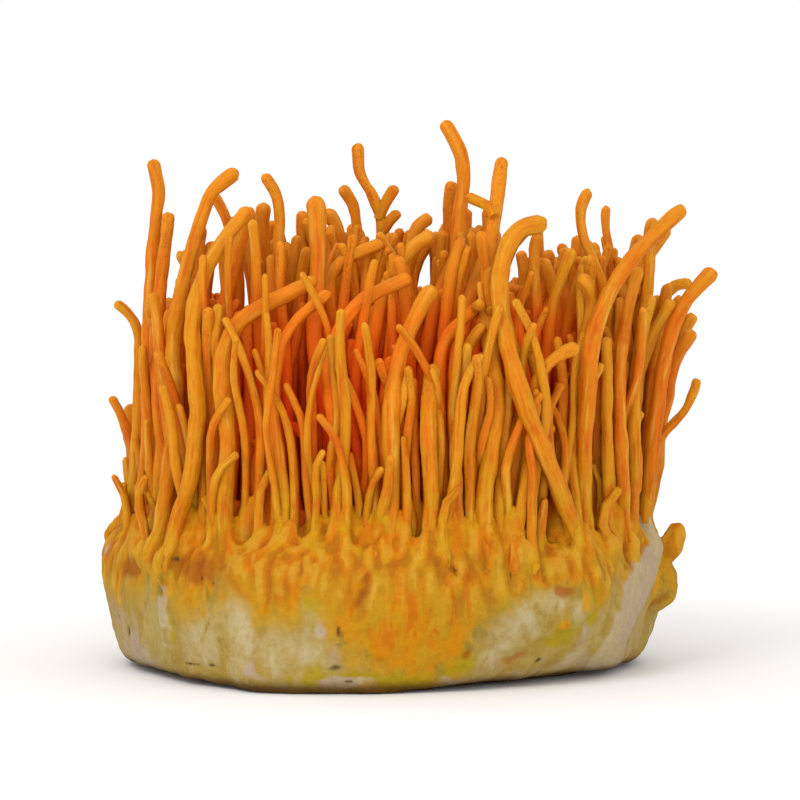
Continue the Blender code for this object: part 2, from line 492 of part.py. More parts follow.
def stand_on_cake(line, skin):
    """Set a line's foot on the cake's skin, so that it grows outwards and up from there."""
    foot = line.samples[0]
    above = Vector((foot.x, foot.y, DROP_HEIGHT)) * MM
    spot, normal, _, _ = skin.ray_cast(above, Vector((0, 0, -1)))
    if spot is None:
        near = Vector((foot.x, foot.y)).normalized() * RIM_RADIUS
        above = Vector((near.x, near.y, DROP_HEIGHT)) * MM
        spot, normal, _, _ = skin.ray_cast(above, Vector((0, 0, -1)))
    spot = spot / MM
    axis = (normal + Vector((0, 0, 1))).normalized()
    start = clear_foot(spot, axis, line.radii[0], skin)
    rise = start + axis * FOOT_RUN
    kept = [p for p in line.samples[1:] if p.z > rise.z + FOOT_FREE]
    keys = [start, rise] + kept[1::3]
    if (keys[-1] - kept[-1]).length > 0.1:
        keys.append(kept[-1])
    line.samples = smooth_line(keys, SAMPLES)
    line.root = spot - axis * ROOT_DEPTH


def crowd_lines(taken, skin):
    """Grow the further stems: feet in a sunflower pattern, clear of the stems already there."""
    dice = random.Random(CROWD_SEED)
    golden = math.pi * (3 - math.sqrt(5))
    lines = []
    feet = [Vector((line.samples[0].x, line.samples[0].y)) for line in taken]
    for index in reversed(range(CROWD_PLACES)):
        turn = index * golden
        radius = CROWD_RADIUS * math.sqrt((index + 0.5) / CROWD_PLACES)
        foot = Vector((radius * math.cos(turn) + dice.uniform(-CROWD_SHIFT, CROWD_SHIFT),
                       radius * math.sin(turn) + dice.uniform(-CROWD_SHIFT, CROWD_SHIFT), TOP_HEIGHT))
        lean = foot.xy.normalized().to_3d() * dice.uniform(*CROWD_LEAN) * radius / CROWD_RADIUS
        sway = Vector((dice.uniform(-1, 1), dice.uniform(-1, 1), 0.0)) * CROWD_SWAY
        hook = Vector((dice.uniform(-1, 1), dice.uniform(-1, 1), 0.0)) * CROWD_HOOK
        height = dice.uniform(*CROWD_HEIGHT)
        width = dice.uniform(*CROWD_WIDTH)
        seen_x, _ = real_to_seen(foot)
        hidden = all(not low < seen_x < high or foot.y > least for low, high, least in GAPS)
        near = min((taken_foot - foot.xy).length for taken_foot in feet)
        if near < CROWD_CLEAR or foot.y < CROWD_FRONT or not hidden:
            continue
        tip_x, _ = real_to_seen(foot + lean + hook)
        top = min(blend(SKYLINE, seen_x), blend(SKYLINE, tip_x)) * height
        rise = Vector((0, 0, top - foot.z))
        keys = [foot + rise * up + lean * out + sway * side + hook * bend
                for up, out, side, bend in CROWD_SHAPE]
        lines.append(Line(smooth_line(keys, SAMPLES), [width * share for share in CROWD_TAPER], False))
        feet.append(foot.xy)
        if len(lines) == CROWD_MOST:
            break
    return lines


def ease_apart(lines):
    """Move the lines until none touch: a drawn line along its sight lines, another one sideways."""
    owners = [(s, i) for s in range(len(lines)) for i in range(SAMPLES)]
    widest = 2 * max(max(line.radii) for line in lines) + CLEAR
    for _ in range(ROUNDS):
        tree = KDTree(len(owners))
        for index, (s, i) in enumerate(owners):
            tree.insert(lines[s].samples[i], index)
        tree.balance()
        moves = [[Vector((0, 0, 0)) for _ in range(SAMPLES)] for _ in lines]
        busy = False
        for s, line in enumerate(lines):
            for i, here in enumerate(line.samples):
                for there, index, distance in tree.find_range(here, widest):
                    other, j = owners[index]
                    need = line.radii[i] + lines[other].radii[j] + CLEAR
                    if other == s or distance >= need:
                        continue
                    busy = True
                    move = push_from(line, lines[other], here, there, need, s < other)
                    if move.length > moves[s][i].length:
                        moves[s][i] = move
        for s, line in enumerate(lines):
            shift_line(line, moves[s])
        if not busy:
            break


def push_from(line, other, here, there, need, first):
    """How far a sample moves off its neighbour's sample."""
    away = here - there
    if line.drawn:
        if not other.drawn:
            return Vector((0, 0, 0))
        side = math.hypot(away.x, away.z)
        wanted = math.sqrt(max(need * need - side * side, 0.0))
        sign = math.copysign(1.0, away.y) if abs(away.y) > 0.05 else (-1.0 if first else 1.0)
        return Vector((0, sign * (wanted - abs(away.y)) * DRAWN_PUSH, 0))
    away.z = 0.0
    if away.length < 0.05:
        away = Vector((1.0 if first else -1.0, 0.3, 0))
    share = CROWD_PUSH if other.drawn else SHARED_PUSH
    return away.normalized() * (need - (here - there).length) * share


def shift_line(line, moves):
    """Spread the moves along the line, so that it stays a smooth curve, and apply them."""
    for _ in range(SPREAD_ROUNDS):
        spread = [moves[0]] + [(a + 2 * b + c) * 0.25 for a, b, c in zip(moves, moves[1:], moves[2:])]
        spread.append(moves[-1])
        moves = [new if new.length > old.length * SPREAD_KEEP else old * SPREAD_KEEP
                 for new, old in zip(spread, moves)]
    for i, move in enumerate(moves):
        sample = line.samples[i]
        if line.drawn:
            x, z = real_to_seen(sample)
            line.samples[i] = seen_to_real(x, z, sample.y + move.y)
        else:
            line.samples[i] = sample + move


def tube_keys(line, step, limits, foot_ring=True):
    """Points and radii along a line, closer together at the foot and at the round tip."""
    last = SAMPLES - 1
    length = sum((end - start).length for start, end in zip(line.samples, line.samples[1:]))
    rings = min(max(round(length / step), limits[0]), limits[1])
    foot = FOOT_RUN / length if foot_ring else 0.0
    shares = [foot + i / rings * (TIP_START - foot) for i in range(rings + 1)] + [1.0]
    if foot_ring:
        shares = [0.0] + shares
    keys = []
    for share in shares:
        at = share * last
        low = min(int(at), last - 1)
        point = line.samples[low].lerp(line.samples[low + 1], at - low)
        radius = line.radii[low] + (line.radii[low + 1] - line.radii[low]) * (at - low)
        keys.append((point, radius))
    keys[-1] = (keys[-1][0], keys[-1][1] * TIP_SHARE)
    return keys


def make_tube(name, keys, bevel, collection):
    """A round stem: a poly curve with its own radius at each point, closed at both ends."""
    curve = bpy.data.curves.new(name, "CURVE")
    curve.dimensions = "3D"
    curve.bevel_depth = MM
    curve.bevel_resolution = bevel
    curve.use_fill_caps = True
    curve.render_resolution_u = 0
    spline = curve.splines.new("POLY")
    spline.points.add(len(keys) - 1)
    for spot, (point, radius) in zip(spline.points, keys):
        spot.co = (*(point * MM), 1.0)
        spot.radius = radius
    spline.use_smooth = True
    tube = bpy.data.objects.new(name, curve)
    collection.objects.link(tube)
    return tube


def join_by_union(base, grown):
    """Fuse what a collection holds to an object."""
    union = base.modifiers.new("grown_together", "BOOLEAN")
    union.operation = "UNION"
    union.solver = "EXACT"
    union.operand_type = "COLLECTION"
    union.collection = grown


def hide_guides(collection):
    for guide in collection.objects:
        guide.hide_render = True
        guide.display_type = "WIRE"


def rooted(keys, line):
    """Carry a tube's foot down into the cake, to fuse it there."""
    return [(line.root, keys[0][1])] + keys[1:]


def build():
    clear_scene()
    parts = make_collection("cordyceps")
    cake_material = make_material("cake", CAKE_COLOUR, 0.75)
    stem_material = make_material("stem", STEM_COLOUR, 0.55)

    cake = make_cake("substrate_block", parts)
    cake.data.materials.append(cake_material)
    sheet = bmesh.new()
    sheet.from_mesh(cake.data)
    skin = BVHTree.FromBMesh(sheet)
    sheet.free()

    stems = [drawn_line(*entry) for entry in STEMS]
    shoots = [drawn_line(*entry) for entry in SHOOTS]
    branches = [drawn_line(*entry[1:]) for entry in BRANCHES]
    for line in stems + shoots:
        stand_on_cake(line, skin)
    crowd = crowd_lines(stems + shoots, skin)
    for line in crowd:
        stand_on_cake(line, skin)
    ease_apart(stems + shoots + crowd)
    for line in stems + shoots + crowd:
        stand_on_cake(line, skin)

    grown = make_collection("grown_on_cake")
    for index, line in enumerate(shoots + crowd):
        keys = rooted(tube_keys(line, SHOOT_STEP, SHOOT_RINGS, foot_ring=False), line)
        tube = make_tube(f"shoot_{index + 1:02d}", keys, SHOOT_BEVEL, grown)
        to_mesh_object(tube, f"shoot_{index + 1:02d}_solid", grown)
    for index, lobe in enumerate(BUD_LOBES):
        keys = [(Vector(point), radius) for point, radius in lobe]
        tube = make_tube(f"bud_{index + 1}", keys, BUD_BEVEL, grown)
        to_mesh_object(tube, f"bud_{index + 1}_solid", grown)
    hide_guides(grown)
    join_by_union(cake, grown)

    forked = {entry[0] for entry in BRANCHES}
    for number, line in enumerate(stems, start=1):
        name = f"stem_{number:02d}"
        stem = make_tube(name, tube_keys(line, STEM_STEP, STEM_RINGS), STEM_BEVEL, parts)
        stem.data.materials.append(stem_material)
        if number not in forked:
            continue
        stem = to_mesh_object(stem, name, parts)
        forks = make_collection(name + "_branches")
        for entry, branch in zip(BRANCHES, branches):
            if entry[0] == number:
                keys = tube_keys(branch, STEM_STEP, BRANCH_RINGS)
                tube = make_tube(name + "_branch", keys, STEM_BEVEL, forks)
                to_mesh_object(tube, name + "_branch_solid", forks)
        hide_guides(forks)
        join_by_union(stem, forks)
    return parts


build()
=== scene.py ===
"""Looks of a cultivated cordyceps: a cake of mycelium and grain under a dense stand of orange stems.

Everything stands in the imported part's frame, in metres: the origin is the middle of the cake's flat
bottom, X runs to the right, Y to the back and Z up. The tables are in millimetres.
"""
import logging
import math
import random
from dataclasses import dataclass, field, replace
from enum import Enum
from typing import Optional, Sequence, Union

import bmesh
import bpy
import numpy as np
from mathutils import Matrix, Quaternion, Vector, noise
from mathutils.bvhtree import BVHTree
from mathutils.kdtree import KDTree


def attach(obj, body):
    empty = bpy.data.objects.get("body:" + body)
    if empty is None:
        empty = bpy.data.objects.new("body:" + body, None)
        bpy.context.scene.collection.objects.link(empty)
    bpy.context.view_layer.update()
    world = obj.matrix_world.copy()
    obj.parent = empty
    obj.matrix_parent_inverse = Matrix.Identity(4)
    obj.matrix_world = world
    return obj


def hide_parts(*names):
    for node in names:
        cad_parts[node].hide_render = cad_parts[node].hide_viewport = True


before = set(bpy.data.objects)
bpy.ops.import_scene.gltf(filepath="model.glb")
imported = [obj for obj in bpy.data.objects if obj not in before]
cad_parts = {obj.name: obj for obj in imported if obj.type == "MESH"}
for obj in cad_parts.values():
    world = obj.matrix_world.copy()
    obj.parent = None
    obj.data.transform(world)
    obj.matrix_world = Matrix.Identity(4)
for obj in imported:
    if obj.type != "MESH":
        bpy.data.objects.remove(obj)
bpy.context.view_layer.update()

LOG = logging.getLogger("cordyceps")
MM = 0.001
BODY = "root"
UP = Vector((0.0, 0.0, 1.0))

Pair = tuple[float, float]
Pairs = Sequence[Pair]
Colour = tuple[float, float, float]
Ball = tuple[Vector, float]

# Cake: radii by compass angle in degrees, 0 at +X and -90 at the front
CAKE_STEPS = 36
CAKE_FOOT_RADII = ((-180, 45), (-150, 44.5), (-128, 47), (-113, 50), (-95, 47.8), (-75, 44.5),
                   (-45, 43.5), (-20, 44.5), (0, 45), (45, 45.5), (90, 46), (135, 45.5))
CAKE_WAIST_RADII = ((-180, 49), (-145, 48.5), (-113, 50.6), (-90, 49.6), (-60, 48.6), (-30, 48.8),
                    (0, 49.6), (45, 49), (90, 49.4), (135, 48.8))
# Profile from the middle of the top to the middle of the bottom: share of the radius, height,
# and how far the radius has gone from the foot's (0) to the waist's (1)
CAKE_PROFILE = ((0.0, 21.6, 1.0), (0.32, 21.9, 1.0), (0.62, 21.8, 1.0), (0.83, 21.4, 1.0),
                (0.925, 20.2, 1.0), (0.98, 17.4, 1.0), (1.0, 13.6, 1.0), (1.0, 9.2, 0.8),
                (1.0, 5.0, 0.55), (1.0, 2.0, 0.3), (0.985, 0.5, 0.1), (0.955, 0.0, 0.0),
                (0.5, 0.0, 0.0), (0.0, 0.0, 0.0))
# Swellings and hollows of the cake's side: angle, height, reach along the side, push outwards
CAKE_LUMPS = ((180, 21.5, 7.0, 1.6), (-42, 16.0, 7.0, 1.3), (-47, 8.0, 7.0, 1.4), (-60, 6.0, 6.0, -0.8),
              (-132, 9.0, 9.0, 0.9), (-152, 14.0, 7.0, -0.7), (-95, 12.0, 10.0, 0.8),
              (-18, 9.0, 7.0, -0.9), (-75, 15.0, 6.0, 0.6), (-115, 4.0, 8.0, 0.7),
              (30, 12.0, 9.0, 0.9), (62, 8.0, 8.0, -0.7), (95, 14.0, 10.0, 0.9),
              (128, 7.0, 8.0, 0.8), (155, 13.0, 8.0, -0.8), (75, 19.0, 7.0, 0.7))

# The tables give each stem as it is seen in a picture plane 25 mm in front of the middle, from
# an eye 800 mm in front of it and 92 mm up. A stem's own depth then sets where it really stands.
EYE_X = 3.2
EYE_Y = -800.0
EYE_Z = 92.0
PICTURE_Y = -25.0
EYE = Vector((EYE_X, EYE_Y, EYE_Z))

# Each stem: depth (Y) at foot, middle and tip, thickness at foot, middle and tip, and the
# points (x, z) from foot to tip
STEMS = (
    ((3, 2, 0), (2.5, 2.3, 1.3), ((-44.8, 21.5), (-43.9, 28), (-42.9, 33), (-42.3, 37), (-42.7, 40),
     (-43.8, 43), (-44.9, 45.6), (-46, 47.8))),
    ((-4, -3, -4), (2.4, 2.3, 1.4), ((-43.6, 23), (-42.9, 30), (-42.3, 36), (-41.9, 42), (-41.6, 48),
     (-41.6, 54), (-41.6, 58), (-42, 60.5), (-43, 62.6), (-45, 64.3))),
    ((-13, -12, -10), (2.6, 2.6, 2.1), ((-41.4, 22), (-41, 28), (-40.6, 34), (-40.1, 40), (-39.9, 46),
     (-39.9, 52), (-39.9, 58), (-39.7, 64), (-39.3, 70), (-39.1, 75), (-38.5, 80), (-38.2, 84),
     (-38.7, 87), (-39, 88.4))),
    ((-20, -17, -14), (2.6, 2.6, 2.0), ((-39.4, 22), (-38.6, 28), (-38, 34), (-37.6, 40), (-37.7, 46),
     (-38.4, 52), (-38.6, 57), (-38.3, 62), (-37.9, 67), (-37.3, 73), (-36.7, 77), (-36.5, 79.4))),
    ((-26, -25, -20), (2.8, 2.9, 2.2), ((-38, 23), (-37.6, 28), (-36.9, 33), (-36.1, 39), (-35.5, 45),
     (-35.4, 50), (-35.7, 55), (-35.5, 60), (-34.9, 64), (-34, 68), (-33, 72), (-31.7, 76),
     (-30.6, 79.5), (-29.9, 82), (-29, 83.9), (-27.3, 85.6), (-25.4, 86.9))),
    ((-31, -34, -28), (2.8, 2.9, 2.4), ((-36.2, 20), (-35.2, 27), (-33.8, 31), (-32.6, 35),
     (-32.1, 40), (-31.5, 45), (-31.8, 50), (-32.3, 56), (-32.3, 61), (-31.6, 65.5), (-30.4, 69.5),
     (-28.6, 73), (-26.5, 76), (-24.5, 78.5), (-23, 80.3))),
    ((-26, -27, -26), (2.0, 2.3, 1.9), ((-30.3, 23), (-29.8, 30), (-29.4, 38), (-29.3, 45),
     (-29.6, 50), (-29.9, 54), (-29.4, 58.5))),
    ((-14, -16, -18), (2.4, 2.6, 2.2), ((-27, 22), (-27.6, 30), (-28, 38), (-28, 46), (-27.8, 54),
     (-27.3, 60), (-26.6, 65), (-25.8, 69), (-24.8, 73), (-23.6, 77), (-22.6, 80.3))),
    ((-2, -4, -10), (1.9, 1.9, 1.7), ((-27.5, 24), (-27.6, 34), (-27.6, 44), (-27.2, 54), (-26.6, 62),
     (-25.8, 69), (-25.7, 74), (-26.2, 78), (-27.2, 80.6), (-28.3, 82.4))),
    ((-37, -36, -32), (2.5, 3.2, 2.5), ((-26.6, 20.5), (-27, 27), (-26.9, 32), (-26.4, 37),
     (-26.5, 42), (-27, 47), (-27.4, 52), (-27.1, 56), (-26, 59), (-24.3, 61.3), (-21.8, 63.2),
     (-19, 64.8), (-15.5, 66.5), (-12, 68.3))),
    ((-29, -27, -24), (2.2, 2.2, 1.9), ((-24.6, 23.5), (-23.6, 28), (-22.6, 32), (-21.5, 36),
     (-21, 41), (-21.2, 46), (-21.3, 52), (-21, 57), (-20.3, 61))),
    ((-8, -8, -12), (2.0, 2.1, 2.2), ((-23.4, 23), (-23.4, 32), (-23.4, 42), (-23.2, 48), (-22.6, 54),
     (-22, 60), (-21.6, 65), (-21.5, 69), (-22, 73), (-22.6, 77), (-22.9, 80.3))),
    ((2, 0, -6), (2.2, 2.3, 2.3), ((-19.6, 24), (-19.6, 32), (-19.9, 42), (-20, 48), (-19.9, 54),
     (-19.7, 60), (-19.4, 65), (-19.4, 69), (-20, 73), (-20.4, 77), (-20.2, 81))),
    ((-41.5, -40, -35), (1.9, 1.9, 1.9), ((-17.5, 19.5), (-17, 25), (-16.6, 30), (-17, 35),
     (-17.6, 39), (-18.2, 43), (-18.4, 48), (-18, 53), (-17.2, 57), (-15.8, 60), (-14, 62.3), (-12, 64),
     (-9.5, 66))),
    ((-14, -14, -16), (2.0, 2.0, 1.9), ((-16, 24), (-16, 32), (-16.2, 40), (-16.3, 48), (-16.5, 54),
     (-17, 60), (-17.6, 66), (-17.9, 70), (-17.6, 74), (-17.4, 78), (-17.6, 81), (-17.9, 84),
     (-18.5, 85.5), (-19.7, 86))),
    ((-30, -28, -22), (2.4, 2.6, 3.1), ((-8.2, 21), (-8, 28), (-7.9, 34), (-8.3, 40), (-9.2, 45),
     (-10.3, 50), (-11.2, 55), (-11.5, 60), (-11.2, 65), (-10.9, 70), (-10.9, 75), (-11.1, 79),
     (-11.4, 82))),
    ((8, 8, 4), (2.0, 2.2, 2.3), ((-7, 24), (-6.6, 34), (-6, 46), (-6.3, 54), (-7.3, 62), (-7.2, 70),
     (-7, 75), (-7.8, 78.3), (-9, 79.9))),
    ((-42, -40, -35), (2.7, 2.6, 2.3), ((-6.6, 20), (-6.4, 26), (-6.3, 31), (-6.7, 36), (-7.3, 40),
     (-8, 44), (-8.7, 48), (-9, 51.5), (-8.8, 55), (-7.9, 58.5), (-6.5, 61.5), (-4.5, 64), (-2, 65.9),
     (1, 67.3), (4.2, 68.7))),
    ((-20, -20, -22), (2.4, 2.5, 2.3), ((-5.6, 22), (-5.4, 30), (-5.2, 38), (-5.4, 46), (-6, 53),
     (-7.2, 59), (-8.6, 64), (-9, 67.5), (-8.2, 70.3), (-6, 72.3), (-3.5, 73.4), (-0.6, 74.6))),
    ((12, 12, 8), (1.9, 1.9, 2.0), ((-4, 24), (-3.9, 38), (-3.8, 46), (-3.8, 54), (-3.9, 60), (-4, 66),
     (-4.2, 71), (-4.3, 75), (-4.3, 78.5), (-4.4, 80.8), (-5.1, 82.6), (-6.3, 84))),
    ((-40.5, -39.5, -37), (2.0, 2.0, 1.8), ((-3, 18), (-2.2, 22), (-1.3, 27), (-0.8, 32), (-0.5, 37),
     (-0.3, 42), (0.1, 46), (0.8, 50), (1.6, 54.5))),
    ((-33, -33, -33), (2.0, 2.1, 1.9), ((-1.8, 22), (-1.9, 28), (-2, 34), (-2.3, 42), (-2.6, 50),
     (-3, 55), (-3.2, 58.4))),
    ((-26, -26, -26), (2.3, 2.4, 2.3), ((-1.6, 21), (-1.4, 28), (-1.3, 36), (-1.5, 44), (-1.7, 50),
     (-1.5, 56), (-0.8, 61), (0.2, 65.5), (1.6, 69), (3.2, 71.6), (5, 73.8), (6.6, 75.3), (8.2, 76))),
    ((-46, -43.5, -38), (2.0, 3.0, 2.5), ((-0.9, 15.8), (0.3, 20), (1.5, 25), (2, 30), (1.9, 36),
     (1.6, 41), (1.6, 46), (2.1, 50), (2.9, 54), (4.1, 58), (5.6, 61.6), (7, 64.4), (8.6, 66.8))),
    ((-20, -20, -22), (2.0, 2.2, 2.1), ((0.4, 24), (0.2, 34), (-0.4, 44), (-0.9, 52), (-1.2, 58),
     (-1.2, 63.2))),
    ((-2, -2, 0), (2.2, 2.2, 2.0), ((-0.3, 24), (-0.3, 38), (-0.4, 46), (-0.5, 54), (-0.6, 60),
     (-0.6, 66), (-0.3, 70), (0.1, 74), (0, 77.5), (-0.4, 80), (-1, 82), (-1.9, 84), (-2.9, 85.7),
     (-4.1, 87.2), (-4.4, 89.2), (-4, 91.2))),
    ((-8, -8, -4), (2.0, 2.0, 2.1), ((3.5, 24), (3.6, 34), (3.9, 44), (4.4, 54), (5, 62), (5.4, 65),
     (5.2, 69), (5, 73), (5.3, 76.3), (6.6, 78), (8, 79))),
    ((-41, -41, -40), (1.5, 1.5, 1.4), ((6.4, 22), (6.2, 28), (6, 34), (5.7, 40), (5.7, 46),
     (5.5, 50.8))),
    ((-45, -44.5, -42), (2.5, 2.7, 2.5), ((7.8, 20), (8.4, 26), (8.7, 31), (8.5, 36), (8.1, 41),
     (8.2, 46), (8.5, 50), (8.8, 53.2))),
    ((-40, -39, -35), (2.2, 2.2, 1.9), ((10.6, 20.5), (10.7, 28), (10.6, 34), (10.4, 40), (10, 45),
     (9.8, 50), (10, 54), (10.7, 57.5), (12.2, 60), (14.2, 62), (16.8, 64.3))),
    ((-33, -33, -33), (2.0, 2.1, 1.9), ((12, 22), (12, 30), (11.9, 38), (12, 46), (12.3, 52),
     (12.8, 56), (14, 58.6))),
    ((4, 4, -3), (2.2, 2.2, 2.2), ((11, 24), (11, 36), (11, 46), (11, 54), (11, 62), (11.2, 68),
     (11.4, 74), (11.5, 78), (11.6, 82), (12.1, 84.6))),
    ((-14, -14, -8), (2.4, 2.6, 2.4), ((13.4, 23), (13.3, 31), (13.1, 39), (13, 47), (13, 54),
     (12.8, 60), (12.6, 66), (12.8, 72), (13.2, 77), (13.6, 82), (14.1, 86), (14, 89), (13, 91.7),
     (11.9, 93.8), (11, 95.1))),
    ((-43.5, -41.5, -38), (2.2, 2.1, 1.8), ((12.8, 19.5), (13, 26), (12.9, 32), (12.8, 38), (13.1, 42),
     (13.6, 46), (14, 50), (14.3, 54), (14.9, 57), (16, 59), (17.3, 60.3))),
    ((-28, -30, -24), (2.3, 2.5, 2.5), ((15.2, 24), (15, 32), (14.6, 40), (14.3, 48), (14, 55),
     (14.2, 60), (14.8, 64.5), (15.9, 67.8), (17, 70.2), (17.8, 72.4))),
    ((-36, -35, -34), (2.0, 2.2, 1.7), ((15.6, 22), (15.6, 28), (15.7, 34), (16.2, 40), (16.6, 46),
     (16.9, 51), (17.2, 55.3))),
    ((-41.5, -40, -22), (3.0, 2.9, 2.1), ((18.4, 20), (17.8, 25), (17.6, 30), (18.2, 35), (19, 40),
     (19.7, 45), (19.5, 50), (18.9, 55), (18.4, 60), (18.2, 65), (18.3, 70), (18.6, 74), (19.2, 78),
     (19.8, 82), (20.1, 86), (20.6, 88.7))),
    ((-31, -44, -30), (3.1, 3.1, 3.0), ((34.3, 19.5), (33, 25), (31.6, 30), (29.8, 34.5), (28, 39),
     (26.3, 43), (24.7, 47), (23.4, 51), (22.2, 55), (21.2, 59), (20.5, 63), (20.3, 67), (20.6, 71),
     (21.7, 74.5), (23.6, 77.3), (26, 79), (27.4, 78.2))),
    ((-6, -6, -8), (1.9, 1.9, 1.8), ((22.8, 24), (22.8, 34), (22.6, 44), (22.7, 52), (22.9, 58),
     (22.8, 63), (22.4, 67.1))),
    ((0, 0, -2), (1.9, 1.9, 1.7), ((24.2, 24), (24, 34), (24, 44), (24, 52), (24, 60), (24.2, 66),
     (24.4, 70), (23.9, 72.8))),
    ((-40, -38, -40), (2.3, 2.3, 2.0), ((22.4, 20), (23.2, 25), (24.2, 30), (25, 35), (25.4, 40),
     (25.6, 45), (26.1, 49), (27.3, 52.3), (29.2, 54.8), (31.2, 56.2), (33, 56.9))),
    ((-20, -20, -26), (2.0, 1.9, 1.6), ((25.8, 23), (25.9, 32), (26, 40), (26.3, 47), (26.7, 54),
     (26.8, 60), (26.6, 66), (26.3, 70), (26.2, 73), (26.7, 75.6))),
    ((8, 8, 6), (2.2, 2.2, 2.1), ((28.6, 24), (28.6, 32), (28.6, 40), (28.7, 48), (28.8, 56),
     (28.8, 62), (28.5, 68), (28.8, 73))),
    ((-10, -10, -8), (2.3, 2.4, 2.2), ((31, 23), (31, 32), (31.2, 40), (31.4, 48), (31.3, 56),
     (31, 62), (30.9, 68), (31.6, 73.4))),
    ((2, 2, 0), (2.2, 2.2, 2.1), ((33.6, 24), (33.6, 32), (33.6, 40), (33.4, 50), (33, 58), (32.9, 66),
     (33.2, 71), (33.8, 75.4))),
    ((-24, -27, -29), (2.1, 2.2, 2.2), ((34.2, 22), (33.8, 30), (33.6, 38), (33.7, 46), (33.8, 52),
     (34.4, 57), (35.4, 60.5), (36, 64), (35.8, 67), (34.4, 68.6))),
    ((-26, -34, -20), (2.4, 3.0, 2.3), ((35.4, 21.5), (35, 28), (34.8, 34), (34.9, 40), (35.3, 46),
     (35.6, 52), (35.9, 57), (36.9, 61), (38.3, 64.6), (40, 68), (42.1, 71.3), (44.8, 74.4), (47.5, 77),
     (49.8, 79.2), (51.3, 80.5))),
    ((-14, -14, -14), (1.9, 1.9, 1.7), ((38.2, 23), (38.4, 32), (38.7, 42), (39, 50), (39, 56),
     (38.8, 62), (38.2, 67), (37.2, 69.8), (36, 72.3), (35, 74.8), (34.3, 77), (33.9, 79.5), (34.2, 82),
     (35.3, 83.4))),
    ((-4, -4, -2), (2.0, 2.0, 1.4), ((40.2, 24), (40.3, 32), (40.4, 40), (40.6, 48), (40.6, 56),
     (40.4, 62), (39.9, 68), (39.4, 71.5), (38.9, 74.5), (38.5, 77.5), (38.5, 80.5))),
    ((2, 0, -2), (2.1, 2.2, 1.9), ((41.6, 23), (41.8, 32), (42, 40), (42.2, 48), (42.4, 56),
     (42.4, 62), (42.3, 68), (43, 72), (44, 75.6))),
    ((-19, -24, -20), (2.3, 2.4, 2.1), ((41.4, 22), (41.6, 30), (41.3, 38), (41, 46), (41, 53),
     (41.6, 60), (42.8, 66), (44, 70))),
    ((-14, -20, -18), (2.3, 2.4, 2.1), ((42.8, 22.5), (43.2, 30), (43.4, 38), (43.4, 46), (43.9, 53),
     (44.8, 60), (46, 65.4))),
    ((-5, -8, -14), (2.2, 2.2, 2.3), ((42.4, 23), (43, 32), (43.4, 40), (43.8, 48), (44.4, 56),
     (45, 62), (45.6, 68), (45.9, 72), (45.9, 75.5), (46.6, 78.3))),
    ((12, 10, 4), (2.1, 2.2, 2.0), ((43, 24), (44, 32), (45, 40), (45.8, 48), (46.4, 56), (47.3, 62),
     (48.4, 65.6), (50, 67.4), (52.4, 68))),
    ((-9, -14, -16), (2.4, 2.7, 2.5), ((44.6, 22), (45.6, 30), (46.2, 36), (46.8, 42), (47.5, 48),
     (48.4, 54), (49.7, 59.5), (51.4, 63.5), (53.2, 66.2), (55, 68), (56.6, 69.8))),
    ((8, 7, 4), (2.1, 2.2, 1.9), ((43.6, 24), (45, 32), (46.2, 39), (47.4, 45), (48.6, 51), (50.4, 56),
     (52, 60), (53.2, 62.1))),
    ((4, 0, -4), (2.3, 2.4, 2.1), ((44.6, 23), (45.8, 29), (46.6, 33), (47.4, 37), (47.7, 41),
     (48.2, 45), (49.2, 49), (49.8, 52.5), (50.8, 55.5), (52.2, 57.8), (53.1, 59.4))),
    ((-1, -6, -10), (2.0, 1.8, 1.3), ((44.8, 23), (45.6, 30), (46.3, 35), (47, 38.5), (47.8, 41),
     (48.9, 42.7), (50.4, 44.2), (52, 46), (53.3, 48.5), (54, 50.8))),
)

# Side branches: number of the stem, depth, thickness, and points from its root to its tip
BRANCHES = (
    (26, (-1, -1, -1), (1.9, 2.0, 2.0), ((-0.4, 79), (0.3, 81), (1.1, 82.4), (2.1, 84))),
    (26, (-1, -1, -1), (1.9, 1.9, 1.7), ((0, 76.4), (0.9, 78), (1.7, 79.1), (2.5, 79.8))),
    (37, (-28.5, -27, -26), (1.7, 1.8, 1.8), ((19.3, 79.5), (18.3, 81.2), (16.9, 82), (15.4, 82.6))),
)

